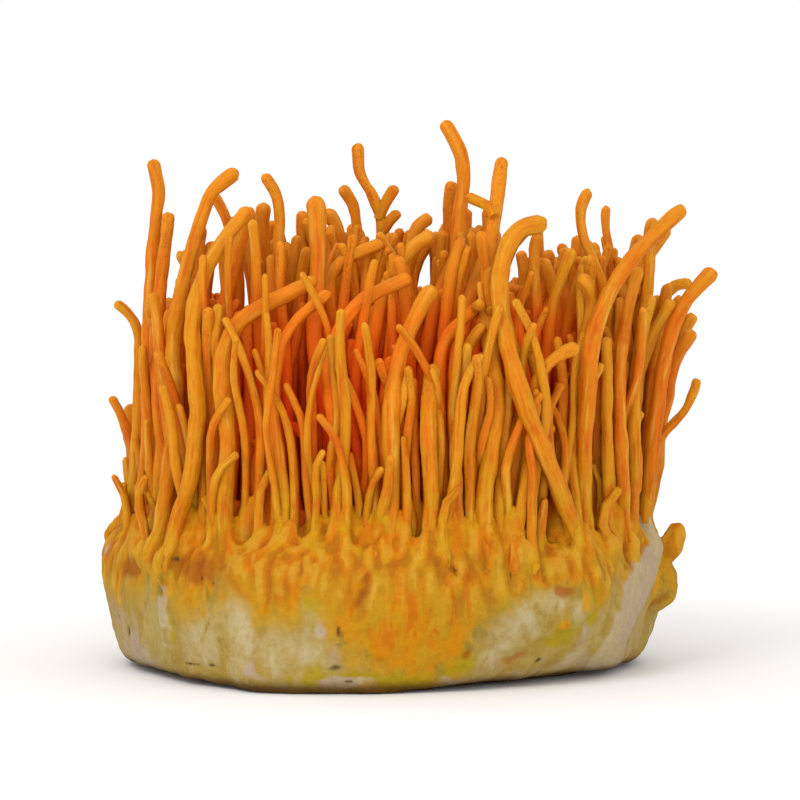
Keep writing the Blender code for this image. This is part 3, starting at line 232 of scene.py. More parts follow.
# Small shoots, laid out as the stems are
SHOOTS = (
    ((10, 9, 8), (2.0, 2.0, 1.8), ((-43.4, 22), (-42.2, 30), (-41.6, 36), (-42.2, 42), (-43.2, 46.4))),
    ((4, 4, 2), (1.9, 1.9, 1.8), ((-13.5, 24), (-13.5, 38), (-13.7, 52), (-13.5, 66), (-13.6, 79.6))),
    ((-33, -32, -30), (1.5, 1.4, 1.2), ((-14.4, 23), (-14.5, 30), (-14.9, 37), (-16, 47.5))),
    ((-27, -27, -27), (2.0, 2.0, 1.8), ((-11.6, 23), (-11.8, 29), (-12.2, 35))),
    ((-37, -36.5, -36), (1.9, 2.0, 1.4), ((-2.9, 22), (-3.1, 30), (-3.9, 38), (-5, 45), (-5.5, 49.2))),
    ((-35, -36.5, -37), (1.4, 1.4, 1.4), ((-0.9, 22), (-0.6, 31), (-0.7, 41), (-1.4, 46.5),
     (-2.1, 49.6))),
    ((-29, -29, -29), (1.9, 1.9, 1.8), ((-2.6, 23), (-2.9, 36), (-3.9, 47), (-5, 57.6))),
    ((12, 12, 10), (2.0, 2.1, 2.0), ((10, 24), (10, 38), (10, 52), (9.9, 66), (9.2, 76))),
    ((-30, -33, -33), (1.6, 1.5, 1.4), ((31.6, 22), (30.4, 32), (29, 40), (28.8, 46), (30.6, 50))),
    ((-18, -22, -24), (1.7, 1.8, 1.5), ((33.2, 24), (32.2, 33), (31.8, 40), (32.3, 48), (33.4, 54))),
    ((-23, -25, -25), (1.9, 2.0, 1.8), ((39.2, 22), (38.9, 32), (38.8, 44), (38.6, 58))),
)

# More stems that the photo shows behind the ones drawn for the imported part
MORE_STEMS = (
    ((-2, -4, -8), (2.2, 2.4, 2.2), ((43.2, 24), (44.6, 34), (45.8, 44), (46.8, 54), (48, 62),
     (49.4, 68))),
    ((6, 4, 2), (2.2, 2.3, 2.0), ((43.4, 24), (45.2, 36), (46.8, 46), (48.4, 56), (50.2, 63),
     (51.2, 66))),
    ((0, -2, -5), (2.2, 2.3, 2.0), ((42.6, 24), (44, 36), (45.4, 48), (46.2, 58), (46.8, 63),
     (47.4, 66))),
    ((-12, -14, -12), (2.2, 2.4, 2.0), ((38.5, 24), (39.5, 40), (40.6, 54), (42, 64), (44.6, 70.5),
     (47.6, 75), (49.4, 77.4))),
    ((-18, -20, -16), (2.2, 2.2, 2.6), ((27.5, 26), (25.5, 40), (22.5, 52), (20.4, 62), (20.2, 68),
     (21, 72.8), (22.9, 76.6), (25.2, 78.8), (27.4, 79))),
    ((-6, -6, -6), (2.2, 2.2, 2.0), ((42.5, 24), (43.2, 45), (44, 62), (44.3, 68))),
    ((-8, -8, -8), (2.6, 2.8, 2.6), ((-31, 24), (-30.6, 36), (-30.2, 48), (-30.2, 60), (-30.8, 68),
     (-31.6, 76))),
    ((10, 10, 10), (2.6, 2.8, 2.6), ((-30.8, 24), (-30.8, 50), (-30.6, 64), (-30, 72), (-28.6, 75.2))),
    ((4, 4, 4), (2.2, 2.2, 2.0), ((-26.4, 24), (-26.4, 50), (-26.5, 64), (-26.9, 72), (-27.8, 75.6))),
    ((6, 6, 6), (2.4, 2.6, 2.6), ((-24.9, 24), (-25, 50), (-24.9, 66), (-25.2, 74), (-25.8, 79.4))),
    ((12, 12, 12), (2.2, 2.2, 3.0), ((-21.4, 24), (-21.3, 50), (-21.4, 66), (-22.2, 71.6),
     (-23.4, 74.8))),
    ((9, 9, 9), (2.4, 2.6, 2.4), ((-33, 24), (-33, 50), (-32.6, 66), (-31.6, 74), (-30.6, 78))),
    ((12, 12, 12), (2.0, 2.0, 2.0), ((4.6, 24), (4.6, 50), (5, 66), (6.2, 73), (8.6, 75.2))),
    ((14, 14, 14), (1.8, 1.8, 1.8), ((9.4, 24), (9.2, 50), (9.1, 70), (9, 75.6))),
    ((5, 5, 5), (1.8, 1.8, 1.6), ((14.6, 24), (14.6, 50), (14.6, 70), (14.7, 80.8))),
    ((6, 6, 6), (2.2, 2.2, 2.2), ((16.3, 24), (16.3, 50), (16.3, 70), (16.3, 77.6))),
    ((4, 4, 4), (1.8, 1.9, 1.8), ((18.1, 24), (18.1, 50), (18.1, 70), (18.1, 80.8))),
)

# Crowd of further stems inside the stand and round its back and sides: how far out their feet
# stand, how far a foot strays, how far a stem leans, sways and hooks, and its thickness at the foot,
# half way and at the tip as a share of its width
CROWD_RADIUS = 45.0
CROWD_SHIFT = 1.0
CROWD_LEAN = (0.5, 5.0)
CROWD_SWAY = 2.4
CROWD_HOOK = 5.0
CROWD_TAPER = (1.0, 1.05, 0.85)
# Shape of a crowd stem: share of its height, of its lean, of its sway and of its hook
CROWD_SHAPE = ((0.0, 0.0, 0.0, 0.0), (0.28, 0.1, 0.5, 0.0), (0.55, 0.4, 1.0, 0.0),
               (0.82, 0.8, 0.4, 0.25), (1.0, 1.0, 0.0, 1.0))
# Highest tip, as it is seen, by x: it leaves the photo's open sky between the tall tips
SKYLINE = ((-60, 38), (-46, 42), (-44, 46), (-41, 60), (-38, 65), (-32, 63), (-22, 63), (-18.5, 76),
           (-7, 76), (3, 75), (6, 64), (8.5, 64), (11, 75), (18, 76), (21, 65), (25.5, 65), (29, 73),
           (39, 73), (44, 70), (48, 60), (56, 46))
# Open gaps between the front stems: from x, to x, and the least depth of what stands behind
GAPS = ((-26, -22, 2), (-16.5, -9, 8), (-8, -6, 4), (5.5, 9, 6), (20.5, 26, 6), (27, 29.5, 2),
        (35.5, 38.5, 2))

# Skyline of the inner stems, closer to the photo's, and the open windows in the stand: from x, to x,
# from z and to z, with the room that is kept round them
INNER_SKY = (
    (-60, 38), (-46, 42), (-43.5, 46), (-42, 56), (-40, 68), (-36.5, 66), (-34, 73), (-31, 79),
    (-27, 79), (-24, 79.5), (-20, 80.5), (-17, 77.5), (-14, 76), (-12, 79.5), (-8.5, 79), (-5, 78.5),
    (2, 77), (6, 78), (9, 76), (12, 78), (15, 82.5), (18.5, 82), (20.5, 76.5), (23, 78), (26, 78),
    (28.5, 73), (32, 75), (36, 75.5), (38.5, 77), (41, 73.5), (44, 76), (46.5, 77), (48, 70), (51, 66),
    (53, 58), (56, 46),
)
WINDOWS = (
    (-29.0, -27.7, 77.1, 80.6), (24.1, 25.5, 73.9, 75.6), (21.0, 23.4, 68.9, 72.5),
    (6.6, 8.0, 67.5, 71.7), (-29.4, -27.7, 66.5, 70.8), (-23.9, -22.5, 64.1, 69.3),
    (15.5, 17.1, 79.2, 80.9), (-37.2, -36.0, 66.5, 80.0),
)
WINDOW_ROOM = 0.1

# The cake's upper face, where the feet are set down from above, and its gentle unevenness
TOP_HEIGHT = 22.0
DROP_HEIGHT = 60.0
RIM_RADIUS = 46.0
WAVE_HEIGHT = 0.5
WAVE_X = 0.31
WAVE_Y = 0.27
WAVE_SHARE = 0.9
WAVE_LEAST = 15

# Spacing of the stems: samples of a line, the gap and the rounds of easing apart, a foot's gap to
# the cake, its straight run and its tests, and how hard a line is pushed off its neighbours
SAMPLES = 44
CLEAR = 0.9
ROUNDS = 60
FOOT_GAP = 0.3
FOOT_RUN = 2.6
FOOT_TESTS = 12
FOOT_LIFTS = 4
FOOT_FREE = 2.0
DRAWN_PUSH = 0.35
CROWD_PUSH = 0.9
SHARED_PUSH = 0.45
SAME_PLACE = 0.05
SPREAD_ROUNDS = 3
SPREAD_KEEP = 0.8
ROOT_DEPTH = 1.2
CROWD_RELAX = 8
INNER_GAP = 0.1
INNER_ROUNDS = 10
INNER_RELAX = 14

# Finished skins of the stems: points along a line, the round tip, the swellings along the stem, the
# stems that are grainy at the top, and the scales of the bends and of the skin in lumps to a metre.
# A ramp is given as the place where it starts and its run, which is negative where it falls.
DENSE_POINTS = 400
TIP_REACH = 1.15
TIP_TURNS = (14, 28, 42, 55, 67, 77, 85)
CLUB_RUN = 3.5
SWELL_LONG = 0.11
SWELL_SHORT = 0.31
SWELL_FINE = 0.8
SWELL_SEEDS = (7.3, 3.1)
SWELL_APART = 5.0
GRAINY_SHARE = 0.35
GRAINY_TOP = (0.72, 0.2)
WOBBLE_SCALE = 150.0
WOBBLE_START = 0.014
GRAIN_STRETCH = 0.25
SKIN_SCALE = 900.0
GROUP_SIZE = 40
# Where painted red shade falls on the stems inside the stand, for the shade and the light bounced
# between them: ramps by radius and by height, how much of the red is left in the tips, and how much
# at which heights over the feet
INNER_EDGE = (44.5, -9.0)
INNER_TOP = (74.0, -26.0)
INNER_LEAST = 0.2
FOOT_LIGHT = ((22.0, 27.0, 36.0), (0.5, 0.75, 1.0))

# Skin of the cake: its flat edge, the faces cut off the bottom, and how the edge curves up from it
FLAT_EDGE = 1.2
BOTTOM_CUT = 0.3
EDGE_OUT = (33, 11)
EDGE_HEIGHT = 6
WAVE_EDGE = (0.92, -0.06)
# Roots: how far inside the cake a stem's skin starts, the height over which what is seen curls in
# towards the top, the reach of their colour, and their taper and their start
ROOT_LOWER = 0.8
ROOT_TUCK = 2.4
ROOT_HEIGHT = 19.5
ROOT_CURL = 0.4
ROOT_REACH = 1.2
ROOT_TAPER = 0.55
ROOT_START = (0.25, 3.5)
# Roots down the other sides: seed, and the ranges of their compass angle, their lean, the height of
# their lower end, their half-width and how far they stand proud
SIDE_SEED = 41
SIDE_ANGLES = (-28, 208)
SIDE_LEAN = (-4, 4)
SIDE_LOW = (11.0, 20.0)
SIDE_WIDE = (0.8, 1.4)
SIDE_PROUD = (0.4, 0.8)
SIDE_TOP = 27.0
SIDE_STEPS = 3
SIDE_FAR = 80.0
# Marks: depth of those beside the cake's edge, how deep a mark reaches, and how its edge frays
MARK_EDGE_DEPTH = -6.0
MARK_DEPTH = 9.0
MARK_FRAY = 0.9
MARK_FRAY_SIZE = 1.2
MARK_SOFT = 0.75
MARK_RELIEF = 0.95
# Spreading feet of the stems: how much wider than the stem by the way up from the root, where they
# end, how much room they have to the cake's edge, and the tail that runs down from the rim's feet
FOOT_SEED = 500
FOOT_TALL = (0.75, 1.2)
FOOT_SHARE = 0.55
FOOT_RINGS = 18
FOOT_SPREAD = ((0.0, 1.5), (2.0, 1.3), (4.5, 0.95), (7.0, 0.6), (9.0, 0.3), (10.5, 0.05),
               (12.0, -0.4))
FOOT_END = 0.39
FOOT_ROOM = 7.0
FOOT_LEAST = 0.2
RIDGE_RADIUS = 38.5
FOOT_TURN = (-2, 2)
FOOT_FALL = (5.0, 11.0)
FOOT_SINK = 0.8
FOOT_BULGE = 0.4
FOOT_TAIL = 8
FOOT_POINT = 0.35
TUBE_TURNS = np.radians(np.arange(0, 360, 40))
# Bud: balls along a lobe, its depth, how much plumper than seen, and how its skin is rounded
BUD_BALLS = 24
BUD_DEPTH = -7.2
BUD_PLUMP = 0.3
BUD_SKIN = 1.2
BUD_ROUNDS = 3
# Studio
FLOOR_DROP = -0.0002
LIGHT_AIM = (0.0, 0.0, 0.04)


Operand = Union["Value", float, int]


class Value:
    """A shader socket that takes part in Python expressions."""

    def __init__(self, sheet: "Sheet", socket: bpy.types.NodeSocket) -> None:
        """Keep the socket and the sheet that new nodes go on."""
        self.sheet = sheet
        self.socket = socket

    def _math(self, operation: str, *operands: Operand) -> "Value":
        """Add one Math node over this value's expression."""
        return self.sheet.node("ShaderNodeMath", {"operation": operation}, list(operands))

    def __add__(self, other: Operand) -> "Value":
        """Add."""
        return self._math("ADD", self, other)

    __radd__ = __add__

    def __sub__(self, other: Operand) -> "Value":
        """Subtract."""
        return self._math("SUBTRACT", self, other)

    def __rsub__(self, other: Operand) -> "Value":
        """Subtract from a number."""
        return self._math("SUBTRACT", other, self)

    def __mul__(self, other: Operand) -> "Value":
        """Multiply."""
        return self._math("MULTIPLY", self, other)

    __rmul__ = __mul__

    def step(self, low: float, high: float) -> "Value":
        """Rise softly from 0 to 1, or fall where low is the larger.

        Args:
            low: the value that gives 0.
            high: the value that gives 1.

        Returns:
            The share.
        """
        if low > high:
            return 1.0 - self.step(high, low)
        return self.sheet.node("ShaderNodeMapRange", {"interpolation_type": "SMOOTHSTEP"},
                               {"Value": self, "From Min": low, "From Max": high})


class Sheet:
    """A node tree, with the one way in which nodes are added to it."""

    def __init__(self, tree: bpy.types.NodeTree) -> None:
        """Keep the tree."""
        self.tree = tree

    def add(self, kind: str, settings: Optional[dict] = None,
            inputs: Union[dict, list, None] = None) -> bpy.types.Node:
        """Add a node, set it up and link it.

        Args:
            kind: the node's type.
            settings: its own settings.
            inputs: values or links of its sockets, by name, by number or in order.

        Returns:
            The node.
        """
        made = self.tree.nodes.new(kind)
        for key, value in (settings or {}).items():
            setattr(made, key, value)
        pairs = inputs.items() if isinstance(inputs, dict) else enumerate(inputs or [])
        for key, value in pairs:
            self.join(made.inputs[key], value)
        return made

    def node(self, kind: str, settings: Optional[dict] = None, inputs: Union[dict, list, None] = None,
             output: Union[str, int] = 0) -> Value:
        """Add a node as add does, and give one of its outputs."""
        return Value(self, self.add(kind, settings, inputs).outputs[output])

    def join(self, socket: bpy.types.NodeSocket, value: Union[Value, float, Colour]) -> None:
        """Link a value to a socket, or set a plain number or colour on it.

        Args:
            socket: the socket.
            value: what it gets.
        """
        if isinstance(value, Value):
            self.tree.links.new(value.socket, socket)
        elif isinstance(value, tuple) and socket.type == "RGBA":
            socket.default_value = (*value, 1.0)
        else:
            socket.default_value = value

    def noise(self, at: Value, scale: float, detail: float = 2.0, rough: float = 0.5,
              warp: float = 0.0, output: str = "Fac") -> Value:
        """Read soft noise, around one half.

        Args:
            at: where to read it.
            scale: lumps to a metre.
            detail: number of finer layers.
            rough: strength of the finer layers.
            warp: how far the pattern is bent.
            output: Fac for one value, Color for three.

        Returns:
            The noise.
        """
        return self.node("ShaderNodeTexNoise", None,
                         {"Vector": at, "Scale": scale, "Detail": detail, "Roughness": rough,
                          "Distortion": warp}, output)

    def vector(self, operation: str, *operands: Union[Value, float, Colour]) -> Value:
        """Add one Vector Math node."""
        return self.node("ShaderNodeVectorMath", {"operation": operation}, list(operands))

    def scale(self, vector: Union[Value, Colour], factor: Value) -> Value:
        """Make a vector longer or shorter by a factor."""
        return self.node("ShaderNodeVectorMath", {"operation": "SCALE"}, {0: vector, "Scale": factor})


class NodeSheet(Sheet):
    """A material's node tree."""

    def __init__(self, name: str) -> None:
        """Start a material with its Principled shader.

        Args:
            name: the material's name.
        """
        self.material = bpy.data.materials.new(name)
        self.material.use_nodes = True
        super().__init__(self.material.node_tree)
        self.shader = self.tree.nodes["Principled BSDF"]
        self.place = self.node("ShaderNodeTexCoord", output="Object")

    def attribute(self, name: str, output: str = "Fac") -> Value:
        """Read an attribute of the piece's points."""
        return self.node("ShaderNodeAttribute", {"attribute_name": name}, output=output)

    def frayed(self, mark: Value, fray: Value, depth: float, low: float, high: float) -> Value:
        """Give a mark's share, with its edge frayed by noise.

        Args:
            mark: how strong the mark is.
            fray: the noise.
            depth: how much the noise moves the edge.
            low: the strength at which the mark starts.
            high: the strength from which it is full.

        Returns:
            The share.
        """
        return (mark + (fray - 0.5) * depth).step(low, high)

    def mix(self, share: Union[Value, float], low: Union[Value, Colour],
            high: Union[Value, Colour]) -> Value:
        """Blend two colours by a share."""
        return self.node("ShaderNodeMix", {"data_type": "RGBA"}, {0: share, 6: low, 7: high}, 2)

    def multiply(self, share: Union[Value, float], low: Value, high: Union[Value, Colour]) -> Value:
        """Multiply a colour by another one, by a share."""
        return self.node("ShaderNodeMix", {"data_type": "RGBA", "blend_type": "MULTIPLY"},
                         {0: share, 6: low, 7: high}, 2)

    def finish(self, colour: Value, roughness: Union[Value, float], bumps: Value, depth: float,
               steady: dict[str, Union[float, tuple]]) -> bpy.types.Material:
        """Lead colour, roughness and bumps to the shader, and set its steady values.

        Args:
            colour: base colour.
            roughness: roughness.
            bumps: height in metres before depth.
            depth: what the height is multiplied by, in metres.
            steady: values that are the same all over, by socket.

        Returns:
            The material.
        """
        self.join(self.shader.inputs["Base Color"], colour)
        self.join(self.shader.inputs["Roughness"], roughness)
        normal = self.node("ShaderNodeBump", None, {"Strength": 1.0, "Distance": depth, "Height": bumps},
                           "Normal")
        self.join(self.shader.inputs["Normal"], normal)
        for name, value in steady.items():
            self.shader.inputs[name].default_value = value
        return self.material


def linear(red: int, green: int, blue: int) -> Colour:
    """Turn a colour of 0 to 255, as a screen shows it, into the shader's linear one."""
    return tuple(((v / 255 + 0.055) / 1.055) ** 2.4 if v > 10 else v / 255 / 12.92
                 for v in (red, green, blue))


FOOT_GOLD = linear(192, 138, 18)
FOOT_ORANGE = linear(192, 112, 10)
# Painted shade deep inside the stand: orange-red, then red
DUSK_SHADE = linear(236, 106, 14)
DEEP_SHADE = linear(236, 62, 10)


def foot_tone(sheet: NodeSheet) -> Value:
    """Give the colour in which the stems' feet and the cake's upper skin run together."""
    patches = sheet.noise(sheet.vector("MULTIPLY", sheet.place, (1.0, 1.0, 0.45)), 330.0, 3.0, 0.6, 0.5)
    return sheet.mix(patches.step(0.38, 0.62), FOOT_ORANGE, FOOT_GOLD)


def inner_shade_tone(sheet: NodeSheet, body: Value, shade: Value) -> Value:
    """Paint red shade, for the shade and the light bounced between the stems, on what lies deep inside
    the stand.

    Args:
        sheet: the material's tree.
        body: the colour outside.
        shade: how deep in the painted shade it lies, from 0 to 1.

    Returns:
        The colour.
    """
    patches = sheet.noise(sheet.place, 300.0, 3.0, 0.6, 0.5)
    inner = sheet.mix(sheet.frayed(shade, patches, 0.5, 0.05, 0.7), body, DUSK_SHADE)
    return sheet.mix(sheet.frayed(shade, patches, 0.8, 0.6, 1.15), inner, DEEP_SHADE)


@dataclass(frozen=True)
class StemFinish:
    """Flesh of the stems: golden orange, streaked along its length, with painted red shade deep inside
    the stand.

    The foot's tone ends over the given heights over the root, in metres.
    """

    warm: Colour = linear(202, 106, 12)
    gold: Colour = linear(200, 134, 20)
    straw: Colour = linear(208, 156, 54)
    tip: Colour = linear(202, 138, 28)
    speck: Colour = linear(120, 52, 14)
    bump: float = 0.00022
    subsurface: float = 0.35
    foot: Pair = (0.024, 0.010)

    def make(self) -> bpy.types.Material:
        """Build the material.

        Returns:
            The material.
        """
        sheet = NodeSheet("stem_flesh")
        share = sheet.attribute("share")
        seed = sheet.attribute("seed")
        shade = sheet.attribute("shade")
        high = sheet.attribute("run")
        grain = sheet.attribute("grain", "Vector")
        streaks = sheet.noise(grain, 1300.0, 3.0, 0.6)
        long = sheet.noise(sheet.vector("MULTIPLY", grain, (1.0, 1.0, 0.35)), 900.0, 2.0, 0.55)
        patches = sheet.noise(sheet.place, 300.0, 3.0, 0.6, 0.5)
        hue = seed * 0.45 + patches * 0.8 + long * 0.5 - 0.42
        body = sheet.mix(hue.step(0.2, 0.75), self.warm, self.gold)
        body = sheet.mix(share.step(0.75, 1.0) * 0.6, body, self.tip)
        body = sheet.mix(high.step(*self.foot), body, foot_tone(sheet))
        body = sheet.mix(long.step(0.56, 0.72) * 0.7, body, self.straw)
        body = sheet.multiply(long.step(0.47, 0.3) * 0.75, body, (0.84, 0.58, 0.36))
        body = sheet.multiply(streaks.step(0.5, 0.34) * 0.5, body, (0.84, 0.62, 0.42))
        # Painted red shade deep inside the stand
        inner = inner_shade_tone(sheet, body, shade)
        dots = sheet.node("ShaderNodeTexVoronoi", {"feature": "F1"},
                          {"Vector": sheet.place, "Scale": 1500.0, "Randomness": 1.0}, "Distance")
        grainy = sheet.attribute("grainy") * dots.step(0.36, 0.14)
        colour = sheet.mix(grainy * 0.2, inner, self.speck)
        bumps = streaks * 0.6 + long * 0.6 + sheet.noise(sheet.place, 2200.0, 2.0) * 0.4 - grainy * 0.4
        roughness = 0.5 + patches * 0.2
        return sheet.finish(colour, roughness, bumps, self.bump,
                            {"Subsurface Weight": self.subsurface,
                             "Subsurface Radius": (1.0, 0.35, 0.08), "Subsurface Scale": 0.002,
                             "IOR": 1.4, "Specular IOR Level": 0.15})


@dataclass(frozen=True)
class CakeFinish:
    """Skin of the cake: orange under the stems, ochre lower down, cream and lilac at the foot.

    The feet's tone starts over the heights of the shoulder, and the painted shadow along the bottom edge
    ends over its own, in metres.
    """

    khaki: Colour = linear(156, 130, 60)
    sand: Colour = linear(166, 144, 84)
    cream: Colour = linear(170, 150, 98)
    pale: Colour = linear(176, 160, 120)
    lilac: Colour = linear(166, 146, 124)
    ochre: Colour = linear(176, 132, 24)
    olive: Colour = linear(142, 116, 28)
    green: Colour = linear(158, 136, 18)
    orange: Colour = linear(188, 124, 12)
    flame: Colour = linear(182, 92, 8)
    rust: Colour = linear(148, 80, 14)
    root: Colour = linear(190, 134, 18)
    straw: Colour = linear(196, 152, 48)
    dark: Colour = linear(80, 56, 24)
    bump: float = 0.0005
    shoulder: Pair = (0.0195, 0.0245)
    bottom_shadow: Pair = (0.0026, 0.0006)

    def make(self) -> bpy.types.Material:
        """Build the material.

        Returns:
            The material.
        """
        sheet = NodeSheet("cake_skin")
        read = sheet.attribute
        height = sheet.node("ShaderNodeSeparateXYZ", None, {"Vector": sheet.place}, "Z")
        drawn = sheet.vector("MULTIPLY", sheet.place, (1.0, 1.0, 0.55))
        broad = sheet.noise(drawn, 110.0, 3.0, 0.55, 0.8)
        mottle = sheet.noise(drawn, 300.0, 4.0, 0.6, 0.8)
        tint = sheet.noise(sheet.vector("ADD", drawn, (0.4, 0.2, 0.1)), 190.0, 3.0, 0.55, 0.6)
        fine = sheet.noise(sheet.place, 900.0, 3.0, 0.6)
        streak = sheet.noise(sheet.vector("MULTIPLY", sheet.place, (1.0, 1.0, 0.22)), 420.0, 3.0,
                             0.6, 0.3)
        # How far a spot lies over the lower edge of the orange, in metres
        level = (height - read("edge") + (broad - 0.5) * 0.014 + (mottle - 0.5) * 0.012
                 + read("root") * 0.004 + read("orange") * 0.012 - read("cream") * 0.006)

        bare = read("lilac").step(0.6, 0.2)
        golden = bare * level.step(-0.004, 0.002)
        layers = (
            # Grown-through grain of the lower side
            (broad.step(0.5, 0.62) * 0.5, self.lilac),
            (sheet.frayed(read("cream"), mottle, 0.6, 0.15, 0.7) * 0.95,
             sheet.mix(mottle.step(0.42, 0.6), self.cream, self.pale)),
            (mottle.step(0.42, 0.3) * 0.4, self.olive),
            (level.step(-0.008, -0.001) * 0.85,
             sheet.mix(mottle.step(0.36, 0.52), self.olive, self.ochre)),
            (sheet.frayed(read("green"), mottle, 0.8, 0.2, 0.75) * 0.85, self.green),
            # Orange of the upper side, streaked downwards
            (level.step(-0.002, 0.002), sheet.mix(tint.step(0.38, 0.6), self.orange, self.ochre)),
            (level.step(0.001, 0.008) * streak.step(0.5, 0.6) * 0.6, self.flame),
            (level.step(-0.003, 0.004) * streak.step(0.5, 0.36) * 0.6, self.ochre),
            # Pale patches, and the feet, webs, roots and flutes that they stay bare of, with painted
            # shade in the webs and the flutes' hollows and painted light on the flutes' ridges
            (sheet.frayed(read("lilac"), mottle, 0.35, 0.15, 0.55) * 0.95,
             sheet.mix(broad.step(0.35, 0.65), self.pale, self.lilac)),
            (height.step(*self.shoulder) * bare, foot_tone(sheet)),
            # Painted shade in the webs between the feet
            (read("web_shade") * bare * 0.35, self.flame),
            (sheet.frayed(read("root"), streak, 1.0, 0.3, 0.8) * bare * 0.75,
             sheet.mix(tint.step(0.4, 0.6), self.root, self.straw)),
            # Painted shade in the flutes' hollows and painted light on their ridges
            (read("flute").step(-0.05, -0.7) * golden * 0.5, self.rust),
            (read("flute").step(0.1, 0.7) * golden * 0.5, self.straw),
            # Rust-brown patches, and painted shade in the grooves, crevices and hollows
            (sheet.frayed(read("rust"), mottle, 0.6, 0.15, 0.8) * 0.8, self.rust),
        )
        skin = sheet.mix(tint.step(0.42, 0.6), self.khaki, self.sand)
        for share, tone in layers:
            skin = sheet.mix(share, skin, tone)
        skin = sheet.multiply(fine.step(0.6, 0.36) * 0.35, skin, (0.8, 0.66, 0.46))
        skin = sheet.multiply(mottle.step(0.4, 0.28) * 0.35, skin, (0.76, 0.62, 0.4))
        # Dark spots, and painted shade in crevices and hollows
        skin = sheet.mix(sheet.frayed(read("dark"), fine, 0.5, 0.25, 0.85), skin, self.dark)
        # Painted shadow along the bottom edge
        skin = sheet.multiply(height.step(*self.bottom_shadow), skin, (0.3, 0.22, 0.14))
        # Painted red shade on the skin inside the stand, as on the stems
        skin = inner_shade_tone(sheet, skin, read("inside"))
        bumps = mottle * 0.5 + fine * 0.5
        roughness = 0.6 + fine * 0.25
        return sheet.finish(skin, roughness, bumps, self.bump,
                            {"Subsurface Weight": 0.15, "Subsurface Radius": (1.0, 0.5, 0.2),
                             "Subsurface Scale": 0.0015, "IOR": 1.4, "Specular IOR Level": 0.1})


@dataclass(frozen=True)
class FloorFinish:
    """Plain pale floor."""

    colour: Colour = (0.93, 0.93, 0.93)
    near: float = 0.25
    far: float = 1.3

    def make(self) -> bpy.types.Material:
        """Build the material."""
        sheet = NodeSheet("floor_paper")
        grain = sheet.noise(sheet.place, 400.0)
        tone = sheet.mix(grain, self.colour, tuple(v * 0.99 for v in self.colour))
        away = sheet.node("ShaderNodeVectorMath", {"operation": "LENGTH"}, [sheet.place], "Value")
        tone = sheet.mix(away.step(self.near, self.far), tone, (1.0, 1.0, 1.0))
        return sheet.finish(tone, 0.9, grain, 0.00001, {"Specular IOR Level": 0.1})


class Hold(Enum):
    """How a centre line may move when the stems are eased apart."""

    SIGHT = "only along its lines of sight"
    FREE = "sideways"
    FIXED = "not at all"


def blend(pairs: Pairs, at: float, period: Optional[float] = None) -> float:
    """Read a value between pairs of place and value with a soft step.

    Args:
        pairs: places in rising order, each with its value.
        at: the place to read.
        period: length of one round, where the places run round a circle.

    Returns:
        The value there.
    """
    places = list(pairs)
    if period:
        places.append((places[0][0] + period, places[0][1]))
        at = (at - places[0][0]) % period + places[0][0]
    at = min(max(at, places[0][0]), places[-1][0])
    for (start, low), (end, high) in zip(places, places[1:]):
        if at <= end:
            share = (at - start) / (end - start)
            share = share * share * (3 - 2 * share)
            return low + (high - low) * share
    return places[-1][1]


def three_values(values: Sequence[float], share: float) -> float:
    """Run from the first value through the second, half way, to the third.

    Args:
        values: the three values.
        share: how far along to read, from 0 to 1.

    Returns:
        The value there.
    """
    foot, middle, tip = values
    if share < 0.5:
        return foot + (middle - foot) * share * 2
    return middle + (tip - middle) * (share - 0.5) * 2


def seen_to_real(x: float, z: float, depth: float) -> Vector:
    """Put a point of the picture plane at its real depth along the line of sight."""
    reach = (depth - EYE_Y) / (PICTURE_Y - EYE_Y)
    return Vector((EYE_X + (x - EYE_X) * reach, depth, EYE_Z + (z - EYE_Z) * reach))


def real_to_seen(point: Vector) -> Pair:
    """Give the place in the picture plane where a point is seen."""
    reach = (PICTURE_Y - EYE_Y) / (point.y - EYE_Y)
    return EYE_X + (point.x - EYE_X) * reach, EYE_Z + (point.z - EYE_Z) * reach


def smooth_line(points: Sequence[Vector], count: int) -> list[Vector]:
    """Lay points evenly along a Catmull-Rom curve.

    Args:
        points: the points the curve goes through.
        count: how many points to lay.

    Returns:
        The points, from end to end.
    """
    ends = [points[0] * 2 - points[1]] + list(points) + [points[-1] * 2 - points[-2]]
    dense = []
    for a, b, c, d in zip(ends, ends[1:], ends[2:], ends[3:]):
        for step in range(8):
            t = step / 8
            dense.append(0.5 * (2 * b + (c - a) * t + (2 * a - 5 * b + 4 * c - d) * t * t
                                + (3 * b - a - 3 * c + d) * t * t * t))
    dense.append(points[-1])
    lengths = [0.0]
    for start, end in zip(dense, dense[1:]):
        lengths.append(lengths[-1] + (end - start).length)
    line = []
    index = 0
    for sample in range(count):
        at = lengths[-1] * sample / (count - 1)
        while index < len(dense) - 2 and lengths[index + 1] < at:
            index += 1
        span = lengths[index + 1] - lengths[index]
        share = (at - lengths[index]) / span if span else 0.0
        line.append(dense[index].lerp(dense[index + 1], min(share, 1.0)))
    return line


def softened(points: Sequence[Vector]) -> list[Vector]:
    """Mix each point between the ends with its two neighbours."""
    return [(a + 2 * b + c) * 0.25 for a, b, c in zip(points, points[1:], points[2:])]


def compass(spot: Vector) -> float:
    """Give the compass angle of a point in degrees."""
    return math.degrees(math.atan2(spot.y, spot.x))


def outwards(spot: Vector) -> Vector:
    """Point level from the middle's axis to a point."""
    return Vector((spot.x, spot.y, 0.0)).normalized()


def tree_of(points: Sequence[Vector]) -> KDTree:
    """Sort points, so that the near ones are found.

    Args:
        points: the points.

    Returns:
        The sorted tree.
    """
    tree = KDTree(len(points))
    for index, point in enumerate(points):
        tree.insert(point, index)
    tree.balance()
    return tree


def ramp(values: np.ndarray, start: float, run: float) -> np.ndarray:
    """Rise evenly from 0 to 1 over a run; with a negative run, fall to 0 at the start."""
    return np.clip((values - start) / run, 0, 1)


